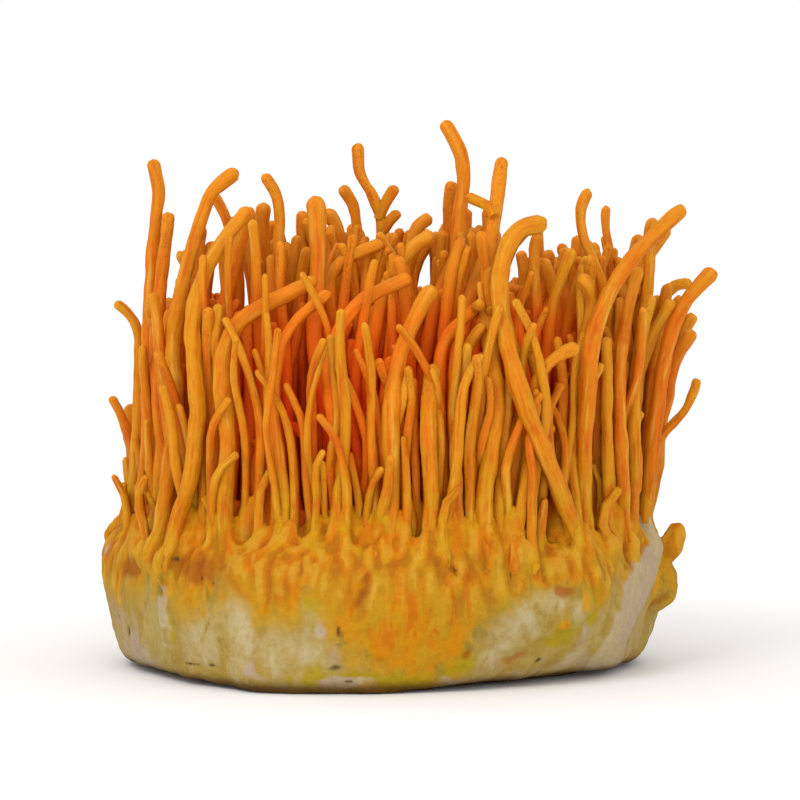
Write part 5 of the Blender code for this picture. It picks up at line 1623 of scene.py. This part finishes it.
# Roots of the stems that run down the cake's side, as they are seen: half-width at the top and how
# far they stand proud, and their points (x, z) downwards
ROOTS = (
    (1.2, 0.7, ((-34.0, 29.5), (-35.1, 26), (-36.0, 21.8), (-36.4, 18), (-36.5, 15.6))),
    (1.1, 0.6, ((-38.5, 27.5), (-39.1, 23.7), (-40.0, 19.5))),
    (1.1, 0.6, ((-42.6, 26.7), (-43.2, 22.5), (-43.8, 19.5))),
    (0.8, 0.5, ((-28.8, 27), (-29, 23.5), (-29.2, 20.4))),
    (1.0, 0.6, ((-26, 26.7), (-26.4, 23.3), (-25.2, 20), (-24.6, 17.4))),
    (0.9, 0.5, ((-24, 27.5), (-23.4, 24.4), (-22.4, 20.4))),
    (1.1, 0.7, ((-17.4, 27.5), (-17.1, 22.9), (-16.8, 18), (-17, 15))),
    (0.9, 0.5, ((-20.4, 27), (-20.2, 23), (-19.6, 19.4))),
    (0.9, 0.5, ((-13.2, 27), (-13.6, 23), (-13.2, 19))),
    (1.5, 0.8, ((-8.6, 27.5), (-8.3, 22.9), (-7.5, 18), (-7.2, 14.5))),
    (0.9, 0.6, ((-5.4, 27), (-4.9, 23), (-4.8, 20))),
    (1.1, 0.8, ((0.6, 27), (-1.3, 23.3), (-2.6, 19), (-3.7, 13.6))),
    (1.1, 0.8, ((2.2, 25), (0.6, 20), (-1.2, 16.2), (-2.6, 12.6))),
    (1.1, 0.6, ((6.1, 27), (6.1, 23), (6.4, 19.8))), (1.1, 0.6, ((8.9, 27), (8.5, 22), (8.0, 18.6))),
    (1.1, 0.6, ((12.1, 27), (12.7, 22), (13.2, 18.6))),
    (0.9, 0.5, ((14.6, 27), (15.2, 23), (16.2, 19.6))),
    (1.2, 0.7, ((17.0, 27), (17.9, 22), (18.6, 17.5), (18.9, 14.6))),
    (1.1, 0.7, ((22.5, 27), (22.0, 22), (22.3, 18), (22.9, 15.4))),
    (1.0, 0.6, ((25.6, 26), (26.5, 20.6), (27.1, 16.6))),
    (1.0, 0.6, ((29.6, 27), (30.0, 22.6), (29.6, 18.8))),
    (1.2, 0.8, ((32.4, 27), (33.7, 22), (34.5, 18), (34.9, 12.6))),
    (1.2, 0.7, ((39.4, 27), (38.4, 22), (38.6, 17), (38, 13.6))),
    (1.0, 0.6, ((41.8, 27), (41.2, 22.6), (40.8, 19))),
)
# Pale band that runs down the right of the front, as it is seen: its middle (x, z) and half-width
BUTTRESS = (((44.6, 25.4), 3.0), ((44.7, 21.5), 3.3), ((44.2, 17.5), 3.5), ((42.7, 13.4), 4.0),
            ((41.2, 9.4), 4.5), ((39.6, 5.4), 5.0), ((38.2, 1.0), 4.8))


@dataclass
class GrownCake:
    """The finished cake of grain and mycelium, with the feet and the bud that are fused to it.

    Its relief is mixed from noise in lumps of three sizes and from flutes, in millimetres. A ramp is
    given as the place where it starts and its run, which is negative where it falls.
    """

    form: CakeForm
    material: bpy.types.Material
    columns: int = 300
    row_step: float = 0.9
    voxel: float = 0.68
    soften: int = 4
    foot_radius: float = 23.0
    side_roots: int = 60
    lump_sizes: tuple[float, float, float] = (9.0, 4.0, 1.7)
    lump_rises: tuple[float, float, float] = (0.6, 0.3, 0.2)
    side_end: Pair = (25.0, -4.0)
    flute_size: Pair = (1.5, 9.0)
    flute_depth: float = 0.65
    flute_paint: float = 2.2
    flute_low: Pair = (11.0, 8.0)
    flute_high: Pair = (30.0, -5.0)
    band_rise: float = 1.3
    band_fray: float = 1.3
    band_fade: float = 2.4
    band_smooth: float = 0.85
    band_foot: float = 9.0
    web_apart: Pair = (1.3, 1.8)
    web_low: Pair = (15.0, 6.0)
    web_samples: int = 14
    inside_low: Pair = (15.0, 3.0)

    def _profile(self) -> list[tuple[float, float, float]]:
        """Lay out the rows from the middle of the top to the middle of the bottom."""
        keys = [Vector((share * RIM_RADIUS, height, waist)) for share, height, waist in GROWN_PROFILE]
        length = sum((b.xy - a.xy).length for a, b in zip(keys, keys[1:]))
        rows = smooth_line(keys, int(length / self.row_step))
        return [(p.x / RIM_RADIUS, max(p.y, 0.0), min(max(p.z, 0.0), 1.0)) for p in rows]

    def _plain_skin(self, sheet: bmesh.types.BMesh) -> None:
        """Add the plain skin, turned from the profile, in millimetres.

        Args:
            sheet: where it is added.
        """
        rows = self._profile()
        angles = np.arange(self.columns) * 360.0 / self.columns - 180.0
        foot = np.array([blend(CAKE_FOOT_RADII, a, 360) for a in angles])
        wide = np.array([blend(CAKE_WAIST_RADII, a, 360) for a in angles])
        turns = np.radians(angles)
        share, height, waist = (np.array([row[i] for row in rows])[:, None] for i in range(3))
        radius = share * (foot + (wide - foot) * waist)
        x, y = radius * np.cos(turns), radius * np.sin(turns)
        z = np.broadcast_to(height, x.shape).copy()
        push = np.zeros_like(x)
        for lump_angle, lump_height, reach, rise in CAKE_LUMPS:
            turn = math.radians(lump_angle)
            edge = blend(CAKE_WAIST_RADII, lump_angle, 360)
            far = (x - edge * math.cos(turn)) ** 2 + (y - edge * math.sin(turn)) ** 2
            push += rise * np.exp(-(far + (z - lump_height) ** 2) / (reach * reach))
        push *= ramp(z, 0.0, FLAT_EDGE)
        x, y = x + push * np.cos(turns), y + push * np.sin(turns)
        rise = np.array([blend(EDGE_RISE, a, 360) for a in angles])
        z += rise * ramp(radius, *EDGE_OUT) ** 2 * np.clip(1 - z / EDGE_HEIGHT, 0, 1)
        on_top = ramp(share, *WAVE_EDGE) * (z > WAVE_LEAST)
        z += on_top * WAVE_HEIGHT * np.sin(x * WAVE_X + 1.0) * np.cos(y * WAVE_Y)
        grid = np.stack((x, y, z), axis=-1)
        add_rings(sheet, [grid[i] for i in range(1, len(rows) - 1)], grid[0].mean(axis=0), grid[-1, 0])

    def _feet(self, sheet: bmesh.types.BMesh, lines: Sequence[Line]) -> None:
        """Add a spreading foot for each line near the rim, which the skin is drawn up to.

        Args:
            sheet: where they are added.
            lines: the lines that stand on the cake.
        """
        full = FOOT_SPREAD[-1][0]
        for number, line in enumerate(lines):
            foot = line.samples[0]
            reach = math.hypot(foot.x, foot.y)
            if reach < self.foot_radius:
                continue
            dice = random.Random(number + FOOT_SEED)
            step = (line.samples[1] - foot).length
            tall = min(dice.uniform(*FOOT_TALL), FOOT_SHARE * step * SAMPLES / full)
            path = smooth_line([line.root] + line.samples[:int(tall * full / step) + 2], FOOT_RINGS)
            edge = blend(CAKE_WAIST_RADII, compass(foot), 360)
            room = min(max((edge - reach) / FOOT_ROOM, FOOT_LEAST), 1.0)
            spread = [blend(FOOT_SPREAD, (spot - path[0]).length / tall) for spot in path]
            wide = [line.radii[0] + (room * more if more > 0 else more) for more in spread]
            last = next((i for i, width in enumerate(wide) if width <= line.radii[0] - FOOT_END),
                        FOOT_RINGS)
            path, wide = path[:last + 1], wide[:last + 1]
            if reach > RIDGE_RADIUS:
                low = self._side_spot(compass(line.root) + dice.uniform(*FOOT_TURN),
                                      line.root.z - dice.uniform(*FOOT_FALL))
                low -= outwards(low) * FOOT_SINK
                middle = low.lerp(path[0], 0.5) + outwards(low) * FOOT_BULGE
                path = smooth_line([low, middle, path[0]], FOOT_TAIL)[:-1] + path
                wide = [wide[0] * (FOOT_POINT + (1 - FOOT_POINT) * i / (FOOT_TAIL - 1))
                        for i in range(FOOT_TAIL - 1)] + wide
            side = Vector((foot.y, -foot.x, 0.0))
            add_tube(sheet, path, [(spot, radius, side) for spot, radius in zip(path, wide)])

    def _seen_hit(self, x: float, z: float, sight: float) -> Vector:
        """Find the spot of the plain skin that the eye meets, or else the nearest one.

        Args:
            x: place in the picture plane.
            z: height in it.
            sight: height in it that the eye looks at.

        Returns:
            The spot, in metres.
        """
        ray = seen_to_real(x, sight, 0.0) - EYE
        hit, _, _, _ = self.form.skin.ray_cast(EYE * MM, ray.normalized())
        if hit is None:
            hit, _, _, _ = self.form.skin.find_nearest(seen_to_real(x, z, MARK_EDGE_DEPTH) * MM)
        return hit

    def _seen_spot(self, x: float, z: float) -> Vector:
        """Find the spot of the cake's side that is seen at a place, or over it for its shoulder."""
        hit = self._seen_hit(x, z, min(z, ROOT_HEIGHT))
        return seen_to_real(x, z, hit.y / MM + max(z - ROOT_HEIGHT, 0.0) * ROOT_CURL)

    def _side_spot(self, angle: float, height: float) -> Vector:
        """Find the spot of the cake's side at a compass angle and a height, or over it.

        Args:
            angle: the angle in degrees.
            height: the height over the bottom.

        Returns:
            The spot, in millimetres.
        """
        out = Vector((math.cos(math.radians(angle)), math.sin(math.radians(angle)), 0.0))
        level = Vector((0.0, 0.0, min(height, ROOT_HEIGHT)))
        hit, _, _, _ = self.form.skin.ray_cast((out * SIDE_FAR + level) * MM, -out)
        spot = hit / MM - out * max(height - ROOT_HEIGHT, 0.0) * ROOT_CURL
        spot.z = height
        return spot

    def _side_root(self, dice: random.Random) -> tuple[float, float, list[Vector]]:
        """Draw one more root down the cake's side.

        Args:
            dice: where its numbers come from.

        Returns:
            Its half-width, how far it stands proud, and its points.
        """
        angle, lean, low = (dice.uniform(*span) for span in (SIDE_ANGLES, SIDE_LEAN, SIDE_LOW))
        wide, proud = dice.uniform(*SIDE_WIDE), dice.uniform(*SIDE_PROUD)
        return wide, proud, [self._side_spot(angle + lean * i / SIDE_STEPS,
                                             SIDE_TOP + (low - SIDE_TOP) * i / SIDE_STEPS)
                             for i in range(SIDE_STEPS + 1)]

    def _roots(self, sheet: bmesh.types.BMesh) -> list[Vector]:
        """Run the drawn roots down the front, and more of their kind down the other sides.

        Args:
            sheet: where they are added.

        Returns:
            Points along the roots, for their colour.
        """
        paths = [(wide, proud, [self._seen_spot(x, z) for x, z in places])
                 for wide, proud, places in ROOTS]
        dice = random.Random(SIDE_SEED)
        paths += [self._side_root(dice) for _ in range(self.side_roots)]
        least, growth = ROOT_START
        marked = []
        for wide, proud, keys in paths:
            path = smooth_line(keys, FOOT_RINGS)
            rings = []
            for i, spot in enumerate(path):
                share = i / (FOOT_RINGS - 1)
                radius = wide * (1 - ROOT_TAPER * share ** 2) * min(least + share * growth, 1.0)
                out = outwards(spot)
                middle = spot + out * (proud * (1 - share ** 3) - radius)
                rings.append((middle, radius, out))
                marked.append(middle + out * radius)
            add_tube(sheet, path, rings)
        return marked

    def _band(self) -> list[Ball]:
        """Lay the pale band down the front as a row of balls."""
        return row_of_balls([self._seen_spot(x, z) for (x, z), _ in BUTTRESS],
                            [half for _, half in BUTTRESS])

    def _bud(self) -> list[Ball]:
        """Lay out the lobes of the bud as rows of balls."""
        balls = []
        for lobe in BUD_LOBES:
            row = row_of_balls([seen_to_real(x, z, BUD_DEPTH) for (x, z), _ in lobe],
                               [radius for _, radius in lobe])
            balls += [(spot, radius + BUD_PLUMP) for spot, radius in row]
        return balls

    def _round_bud(self, sheet: bmesh.types.BMesh) -> None:
        """Split and soften the skin of the bud, which is finer than the rest of the cake.

        Args:
            sheet: the cake's skin, in metres.
        """
        spots = np.array([face.calc_center_median() for face in sheet.faces]) / MM
        near = np.flatnonzero(self._apart(spots, self._bud()) < BUD_SKIN)
        sheet.faces.ensure_lookup_table()
        edges = {edge for index in near for edge in sheet.faces[index].edges}
        fresh = bmesh.ops.subdivide_edges(sheet, edges=list(edges), cuts=1, use_grid_fill=True)
        verts = list({vertex for edge in fresh["geom_inner"] + fresh["geom_split"]
                      if isinstance(edge, bmesh.types.BMEdge) for vertex in edge.verts})
        for _ in range(BUD_ROUNDS):
            bmesh.ops.smooth_vert(sheet, verts=verts, factor=0.5, use_axis_x=True, use_axis_y=True,
                                  use_axis_z=True)

    def _fuse(self, name: str, sheet: bmesh.types.BMesh) -> bpy.types.Mesh:
        """Draw one soft skin over all shells, and free the bottom of needless faces.

        Args:
            name: the piece's name.
            sheet: the shells, in millimetres.

        Returns:
            The skin, in metres.
        """
        bmesh.ops.scale(sheet, vec=(MM, MM, MM), verts=sheet.verts)
        mesh = bpy.data.meshes.new(name + "_shells")
        sheet.to_mesh(mesh)
        sheet.free()
        guide = put_object(name + "_guide", mesh)
        remesh = guide.modifiers.new("one_skin", "REMESH")
        remesh.mode = "VOXEL"
        remesh.voxel_size = self.voxel * MM
        relax = guide.modifiers.new("soften", "SMOOTH")
        relax.factor = 0.5
        relax.iterations = self.soften
        skin = worked_out(guide)
        sheet = bmesh.new()
        sheet.from_mesh(skin)
        low = [face for face in sheet.faces if all(v.co.z < BOTTOM_CUT * MM for v in face.verts)]
        bmesh.ops.delete(sheet, geom=low, context="FACES")
        rim = [edge for edge in sheet.edges if edge.is_boundary]
        for edge in rim:
            for vertex in edge.verts:
                vertex.co.z = 0.0
        middle = sheet.verts.new((0.0, 0.0, 0.0))
        for edge in rim:
            loop = edge.link_loops[0]
            sheet.faces.new((loop.link_loop_next.vert, loop.vert, middle))
        self._round_bud(sheet)
        sheet.normal_update()
        sheet.to_mesh(skin)
        sheet.free()
        return skin

    def _marks(self, spots: np.ndarray, warp: np.ndarray) -> tuple[dict[str, np.ndarray], np.ndarray]:
        """Lay the marks on the skin, and lay them again on the far side.

        Args:
            spots: the skin's points.
            warp: soft noise at each point, which frays the marks' edges.

        Returns:
            The paint by attribute, and the relief in millimetres.
        """
        paint = {mark.value: np.zeros(len(spots)) for mark in Mark}
        relief = np.zeros(len(spots))
        places = [(kind.value, *mark) for kind, marks in CAKE_MARKS.items() for mark in marks]
        for kind, x, z, wide, high, tilt, strength, rise in places:
            hit = self._seen_hit(x, z, z)
            lean = math.radians(tilt)
            fray = MARK_FRAY * min(1.0, MARK_FRAY_SIZE / min(wide, high))
            for side in (1.0, -1.0):
                spot = Vector((hit.x * side, hit.y * side, hit.z)) / MM
                out = outwards(spot)
                apart = spots - np.array(spot)
                flat, rising = apart @ np.array((-out.y, out.x, 0.0)), apart[:, 2]
                depth = apart @ np.array(out)
                long = flat * math.cos(lean) + rising * math.sin(lean)
                short = rising * math.cos(lean) - flat * math.sin(lean)
                away = np.sqrt((long / wide) ** 2 + (short / high) ** 2 + (depth / MARK_DEPTH) ** 2)
                amount = np.exp(-np.maximum(away + warp * fray, 0.0) ** 2 * MARK_SOFT)
                paint[kind] = np.maximum(paint[kind], amount * strength)
                relief += rise * np.exp(-(away * MARK_RELIEF) ** 2)
        return paint, relief

    @staticmethod
    def _apart(spots: np.ndarray, balls: Sequence[Ball]) -> np.ndarray:
        """Say how far each point of the skin lies off the nearest of some balls.

        Args:
            spots: the points.
            balls: the balls' middles and radii.

        Returns:
            The distances.
        """
        tree = tree_of([middle for middle, _ in balls])
        apart = np.empty(len(spots))
        for i, spot in enumerate(spots):
            _, index, distance = tree.find(spot)
            apart[i] = distance - balls[index][1]
        return apart

    def make(self, name: str, lines: Sequence[Line]) -> bpy.types.Object:
        """Make the cake's finished skin.

        Args:
            name: the piece's name.
            lines: the lines that stand on it.

        Returns:
            The piece.
        """
        sheet = bmesh.new()
        self._plain_skin(sheet)
        self._feet(sheet, lines)
        for spot, radius in self._bud():
            bmesh.ops.create_icosphere(sheet, subdivisions=2, radius=radius,
                                       matrix=Matrix.Translation(spot))
        roots = self._roots(sheet)
        mesh = self._fuse(name, sheet)
        count = len(mesh.vertices)
        spots, outward = np.empty(count * 3), np.empty(count * 3)
        mesh.vertices.foreach_get("co", spots)
        mesh.vertices.foreach_get("normal", outward)
        spots, outward = spots.reshape(-1, 3) / MM, outward.reshape(-1, 3)
        broad, middle, fine = (np.array([noise.noise(Vector(spot / size)) for spot in spots])
                               for size in self.lump_sizes)
        across, along = self.flute_size
        flutes = np.array([noise.noise(Vector((x / across, y / across, z / along)))
                           for x, y, z in spots])
        height = spots[:, 2]
        paint, relief = self._marks(spots, fine + 0.8 * middle)
        band = np.clip(0.5 - (self._apart(spots, self._band()) + self.band_fray * middle)
                       / self.band_fade, 0, 1)
        rough = 1 - self.band_smooth * band
        fluted = flutes * (ramp(height, *self.flute_low) * ramp(height, *self.flute_high)) * rough
        on_side = ramp(height, *self.side_end)
        rises = self.lump_rises
        lift = (rises[0] * broad + rises[1] * middle) * on_side + rises[2] * fine * rough + (
            relief + self.band_rise * np.sqrt(band) * ramp(height, 0.0, self.band_foot)) * on_side
        lift = (lift + self.flute_depth * fluted) * ramp(height, 0.0, FLAT_EDGE)
        skin = spots + outward * lift[:, None]
        skin[:, 2] = np.maximum(skin[:, 2], 0.0)
        mesh.vertices.foreach_set("co", (skin * MM).ravel())

        angles = np.degrees(np.arctan2(spots[:, 1], spots[:, 0]))
        feet = [(sample, line.radii[0]) for line in lines
                for sample in [line.root] + line.samples[:self.web_samples]]
        near = self._apart(spots, [(spot, 0.0) for spot in roots])
        # How deep in the stand a point lies, for the painted red shade
        inside = ramp(np.hypot(spots[:, 0], spots[:, 1]), *INNER_EDGE)
        paint["lilac"] = np.maximum(paint["lilac"], band)
        paint["edge"] = np.array([blend(ORANGE_EDGE, a, 360) for a in angles]) * MM
        # Painted shade in the webs between the feet, away from the feet and high up
        paint["web_shade"] = ramp(self._apart(spots, feet), *self.web_apart) * ramp(height, *self.web_low)
        paint["root"] = np.exp(-(near / ROOT_REACH) ** 2)
        # Flutes, for painted shade in their hollows and painted light on their ridges
        paint["flute"] = np.clip(fluted * self.flute_paint, -1, 1)
        # Painted red shade on the skin inside the stand, as on the stems, only high up
        paint["inside"] = inside * foot_light(height) * ramp(height, *self.inside_low)
        store_columns(mesh, paint)
        mesh.shade_smooth()
        return put_piece(name, mesh, self.material)


def row_of_balls(keys: Sequence[Vector], radii: Sequence[float]) -> list[Ball]:
    """Lay balls along a curve, from its points and the radii there."""
    halves = np.interp(np.linspace(0, 1, BUD_BALLS), np.linspace(0, 1, len(radii)), radii)
    return list(zip(smooth_line(keys, BUD_BALLS), halves))


def add_tube(sheet: bmesh.types.BMesh, path: Sequence[Vector],
             rings: Sequence[tuple[Vector, float, Vector]]) -> None:
    """Add a closed tube.

    Args:
        sheet: where it is added.
        path: points that give its direction, one for each ring.
        rings: the rings' middles and radii, and a direction across the tube.
    """
    last = len(path) - 1
    skin = []
    for i, (middle, radius, facing) in enumerate(rings):
        axis = (path[min(i + 1, last)] - path[max(i - 1, 0)]).normalized()
        across = axis.cross(facing).normalized()
        beside = axis.cross(across)
        skin.append(np.array([middle + (across * math.cos(turn) + beside * math.sin(turn)) * radius
                              for turn in TUBE_TURNS]))
    add_rings(sheet, skin, skin[0].mean(axis=0), skin[-1].mean(axis=0))


def add_rings(sheet: bmesh.types.BMesh, rings: Sequence[np.ndarray], start: np.ndarray,
              end: np.ndarray) -> None:
    """Add a closed shell of rings with a pole at each end.

    Args:
        sheet: where it is added.
        rings: the rings' points, all in the same number.
        start: the pole before the first ring.
        end: the pole after the last ring.
    """
    first, last = sheet.verts.new(start), sheet.verts.new(end)
    rows = [[sheet.verts.new(point) for point in ring] for ring in rings]
    count = len(rows[0])
    faces = []
    for i in range(count):
        j = (i + 1) % count
        faces.append(sheet.faces.new((first, rows[0][i], rows[0][j])))
        faces.append(sheet.faces.new((rows[-1][i], last, rows[-1][j])))
        for row, below in zip(rows, rows[1:]):
            faces.append(sheet.faces.new((row[i], below[i], below[j], row[j])))
    bmesh.ops.recalc_face_normals(sheet, faces=faces)


@dataclass
class StemStand:
    """All stems on the cake: their lines, and how each kind is skinned."""

    form: CakeForm
    fine: Skinning = Skinning(spacing=0.95, sides=20, reach=0.9, club=0.14, grain=0.7)
    middle: Skinning = Skinning(spacing=1.5, sides=14)
    inner: Skinning = Skinning(spacing=2.4, sides=9)
    stems: list[Line] = field(default_factory=list)
    shoots: list[Line] = field(default_factory=list)
    branches: list[Line] = field(default_factory=list)
    crowd: list[Line] = field(default_factory=list)
    filling: list[Line] = field(default_factory=list)

    def lay_out(self) -> None:
        """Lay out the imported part's lines, and then the inner stems between them."""
        self.stems = [Line.drawn(*entry) for entry in STEMS]
        self.shoots = [Line.drawn(*entry) for entry in SHOOTS]
        self.branches = [Line.drawn(*entry[1:]) for entry in BRANCHES]
        for line in self.stems + self.shoots:
            self.form.stand(line)
        self.crowd = CrowdPlan().grow(self.stems + self.shoots)
        for line in self.crowd:
            self.form.stand(line)
        packed = self.stems + self.shoots + self.crowd
        ease_apart(packed)
        for line in self.crowd:
            line.relax(CROWD_RELAX)
        for line in packed:
            self.form.stand(line)
        for line in packed:
            line.hold = Hold.FIXED
        self.filling = [Line.drawn(*entry) for entry in MORE_STEMS]
        for line in self.filling:
            line.hold = Hold.FREE
        for plan in INNER_PLANS:
            self.filling += plan.grow(packed + self.filling)
        for line in self.filling:
            self.form.stand(line)
        ease_apart(packed + self.filling, INNER_GAP, INNER_ROUNDS)
        for line in self.filling:
            line.relax(INNER_RELAX)
            self.form.stand(line)

    def lines(self) -> list[Line]:
        """Give every line that stands on the cake."""
        return self.stems + self.shoots + self.crowd + self.filling

    def make(self, skin: StemSkin, material: bpy.types.Material) -> None:
        """Make the pieces and say what they ride on and stand for.

        Args:
            skin: the tree that skins them.
            material: their finish.
        """
        for number, line in enumerate(self.stems, start=1):
            strands = [Strand(line, self.fine, number)]
            strands += [Strand(branch, self.fine, number, fork=True)
                        for entry, branch in zip(BRANCHES, self.branches) if entry[0] == number]
            piece = skin.dress(f"fruit_stem_{number:02d}", strands, self.fine, material)
            settle(piece, f"stem_{number:02d}")
        groups = (("shoots", self.shoots, self.fine, 100), ("crowd", self.crowd, self.middle, 200),
                  ("inner", self.filling, self.inner, 400))
        for name, lines, skinning, seed in groups:
            for part in range(0, len(lines), GROUP_SIZE):
                strands = [Strand(line, skinning, seed + part + i)
                           for i, line in enumerate(lines[part:part + GROUP_SIZE])]
                piece = skin.dress(f"{name}_stems_{part // GROUP_SIZE + 1}", strands, skinning, material)
                settle(piece)


def settle(piece: bpy.types.Object, node: Optional[str] = None) -> None:
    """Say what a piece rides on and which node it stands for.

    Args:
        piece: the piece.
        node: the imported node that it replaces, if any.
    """
    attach(piece, BODY)
    if node:
        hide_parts(node)
    LOG.info("%s: %d faces", piece.name, len(piece.data.polygons))


@dataclass(frozen=True)
class Studio:
    """Camera, soft light and pale floor, in metres, watts and degrees."""

    lens: float = 203.4
    sensor: float = 36.0
    pitch: float = 3.25
    sky: float = 1.0
    key: float = 3.6
    key_place: tuple[float, float, float] = (-0.45, -0.75, 0.85)
    key_size: float = 0.5
    front_share: float = 1.1
    front_place: tuple[float, float, float] = (0.15, -1.1, 0.15)
    front_size: float = 0.6
    floor_size: float = 12.0

    def build(self) -> None:
        """Put the studio round the object."""
        scene = bpy.context.scene
        scene.view_settings.view_transform = "Standard"
        camera = bpy.data.cameras.new("photo_camera")
        camera.lens = self.lens
        camera.sensor_width = self.sensor
        eye = put_object("photo_camera", camera)
        eye.location = EYE * MM
        eye.rotation_euler = (math.radians(90 - self.pitch), 0.0, 0.0)
        scene.camera = eye
        world = bpy.data.worlds.new("studio_sky")
        world.use_nodes = True
        shader = world.node_tree.nodes["Background"]
        shader.inputs["Color"].default_value = (1.0, 1.0, 1.0, 1.0)
        shader.inputs["Strength"].default_value = self.sky
        scene.world = world
        self._light("key_light", self.key_place, self.key, self.key_size)
        self._light("front_light", self.front_place, self.key * self.front_share, self.front_size)
        half = self.floor_size / 2
        mesh = bpy.data.meshes.new("floor")
        mesh.from_pydata([(-half, -half, FLOOR_DROP), (half, -half, FLOOR_DROP),
                          (half, half, FLOOR_DROP), (-half, half, FLOOR_DROP)], [], [(0, 1, 2, 3)])
        put_piece("floor", mesh, FloorFinish().make())

    @staticmethod
    def _light(name: str, place: tuple[float, float, float], power: float, size: float) -> None:
        """Hang one soft square light that looks at the object.

        Args:
            name: its name.
            place: where it hangs.
            power: its power.
            size: its side.
        """
        lamp = bpy.data.lights.new(name, "AREA")
        lamp.energy = power
        lamp.size = size
        item = put_object(name, lamp)
        item.location = place
        item.rotation_euler = (Vector(LIGHT_AIM) - Vector(place)).to_track_quat("-Z", "Y").to_euler()


def main() -> None:
    """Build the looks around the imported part."""
    logging.basicConfig(level=logging.INFO, format="%(message)s")
    Studio().build()
    form = CakeForm()
    stand = StemStand(form)
    stand.lay_out()
    LOG.info("stems %d, crowd %d, inner %d", len(stand.stems), len(stand.crowd), len(stand.filling))
    cake = GrownCake(form, CakeFinish().make())
    settle(cake.make("grown_cake", stand.lines()), "substrate_block")
    stand.make(StemSkin(), StemFinish().make())


if __name__ == "__main__":
    main()
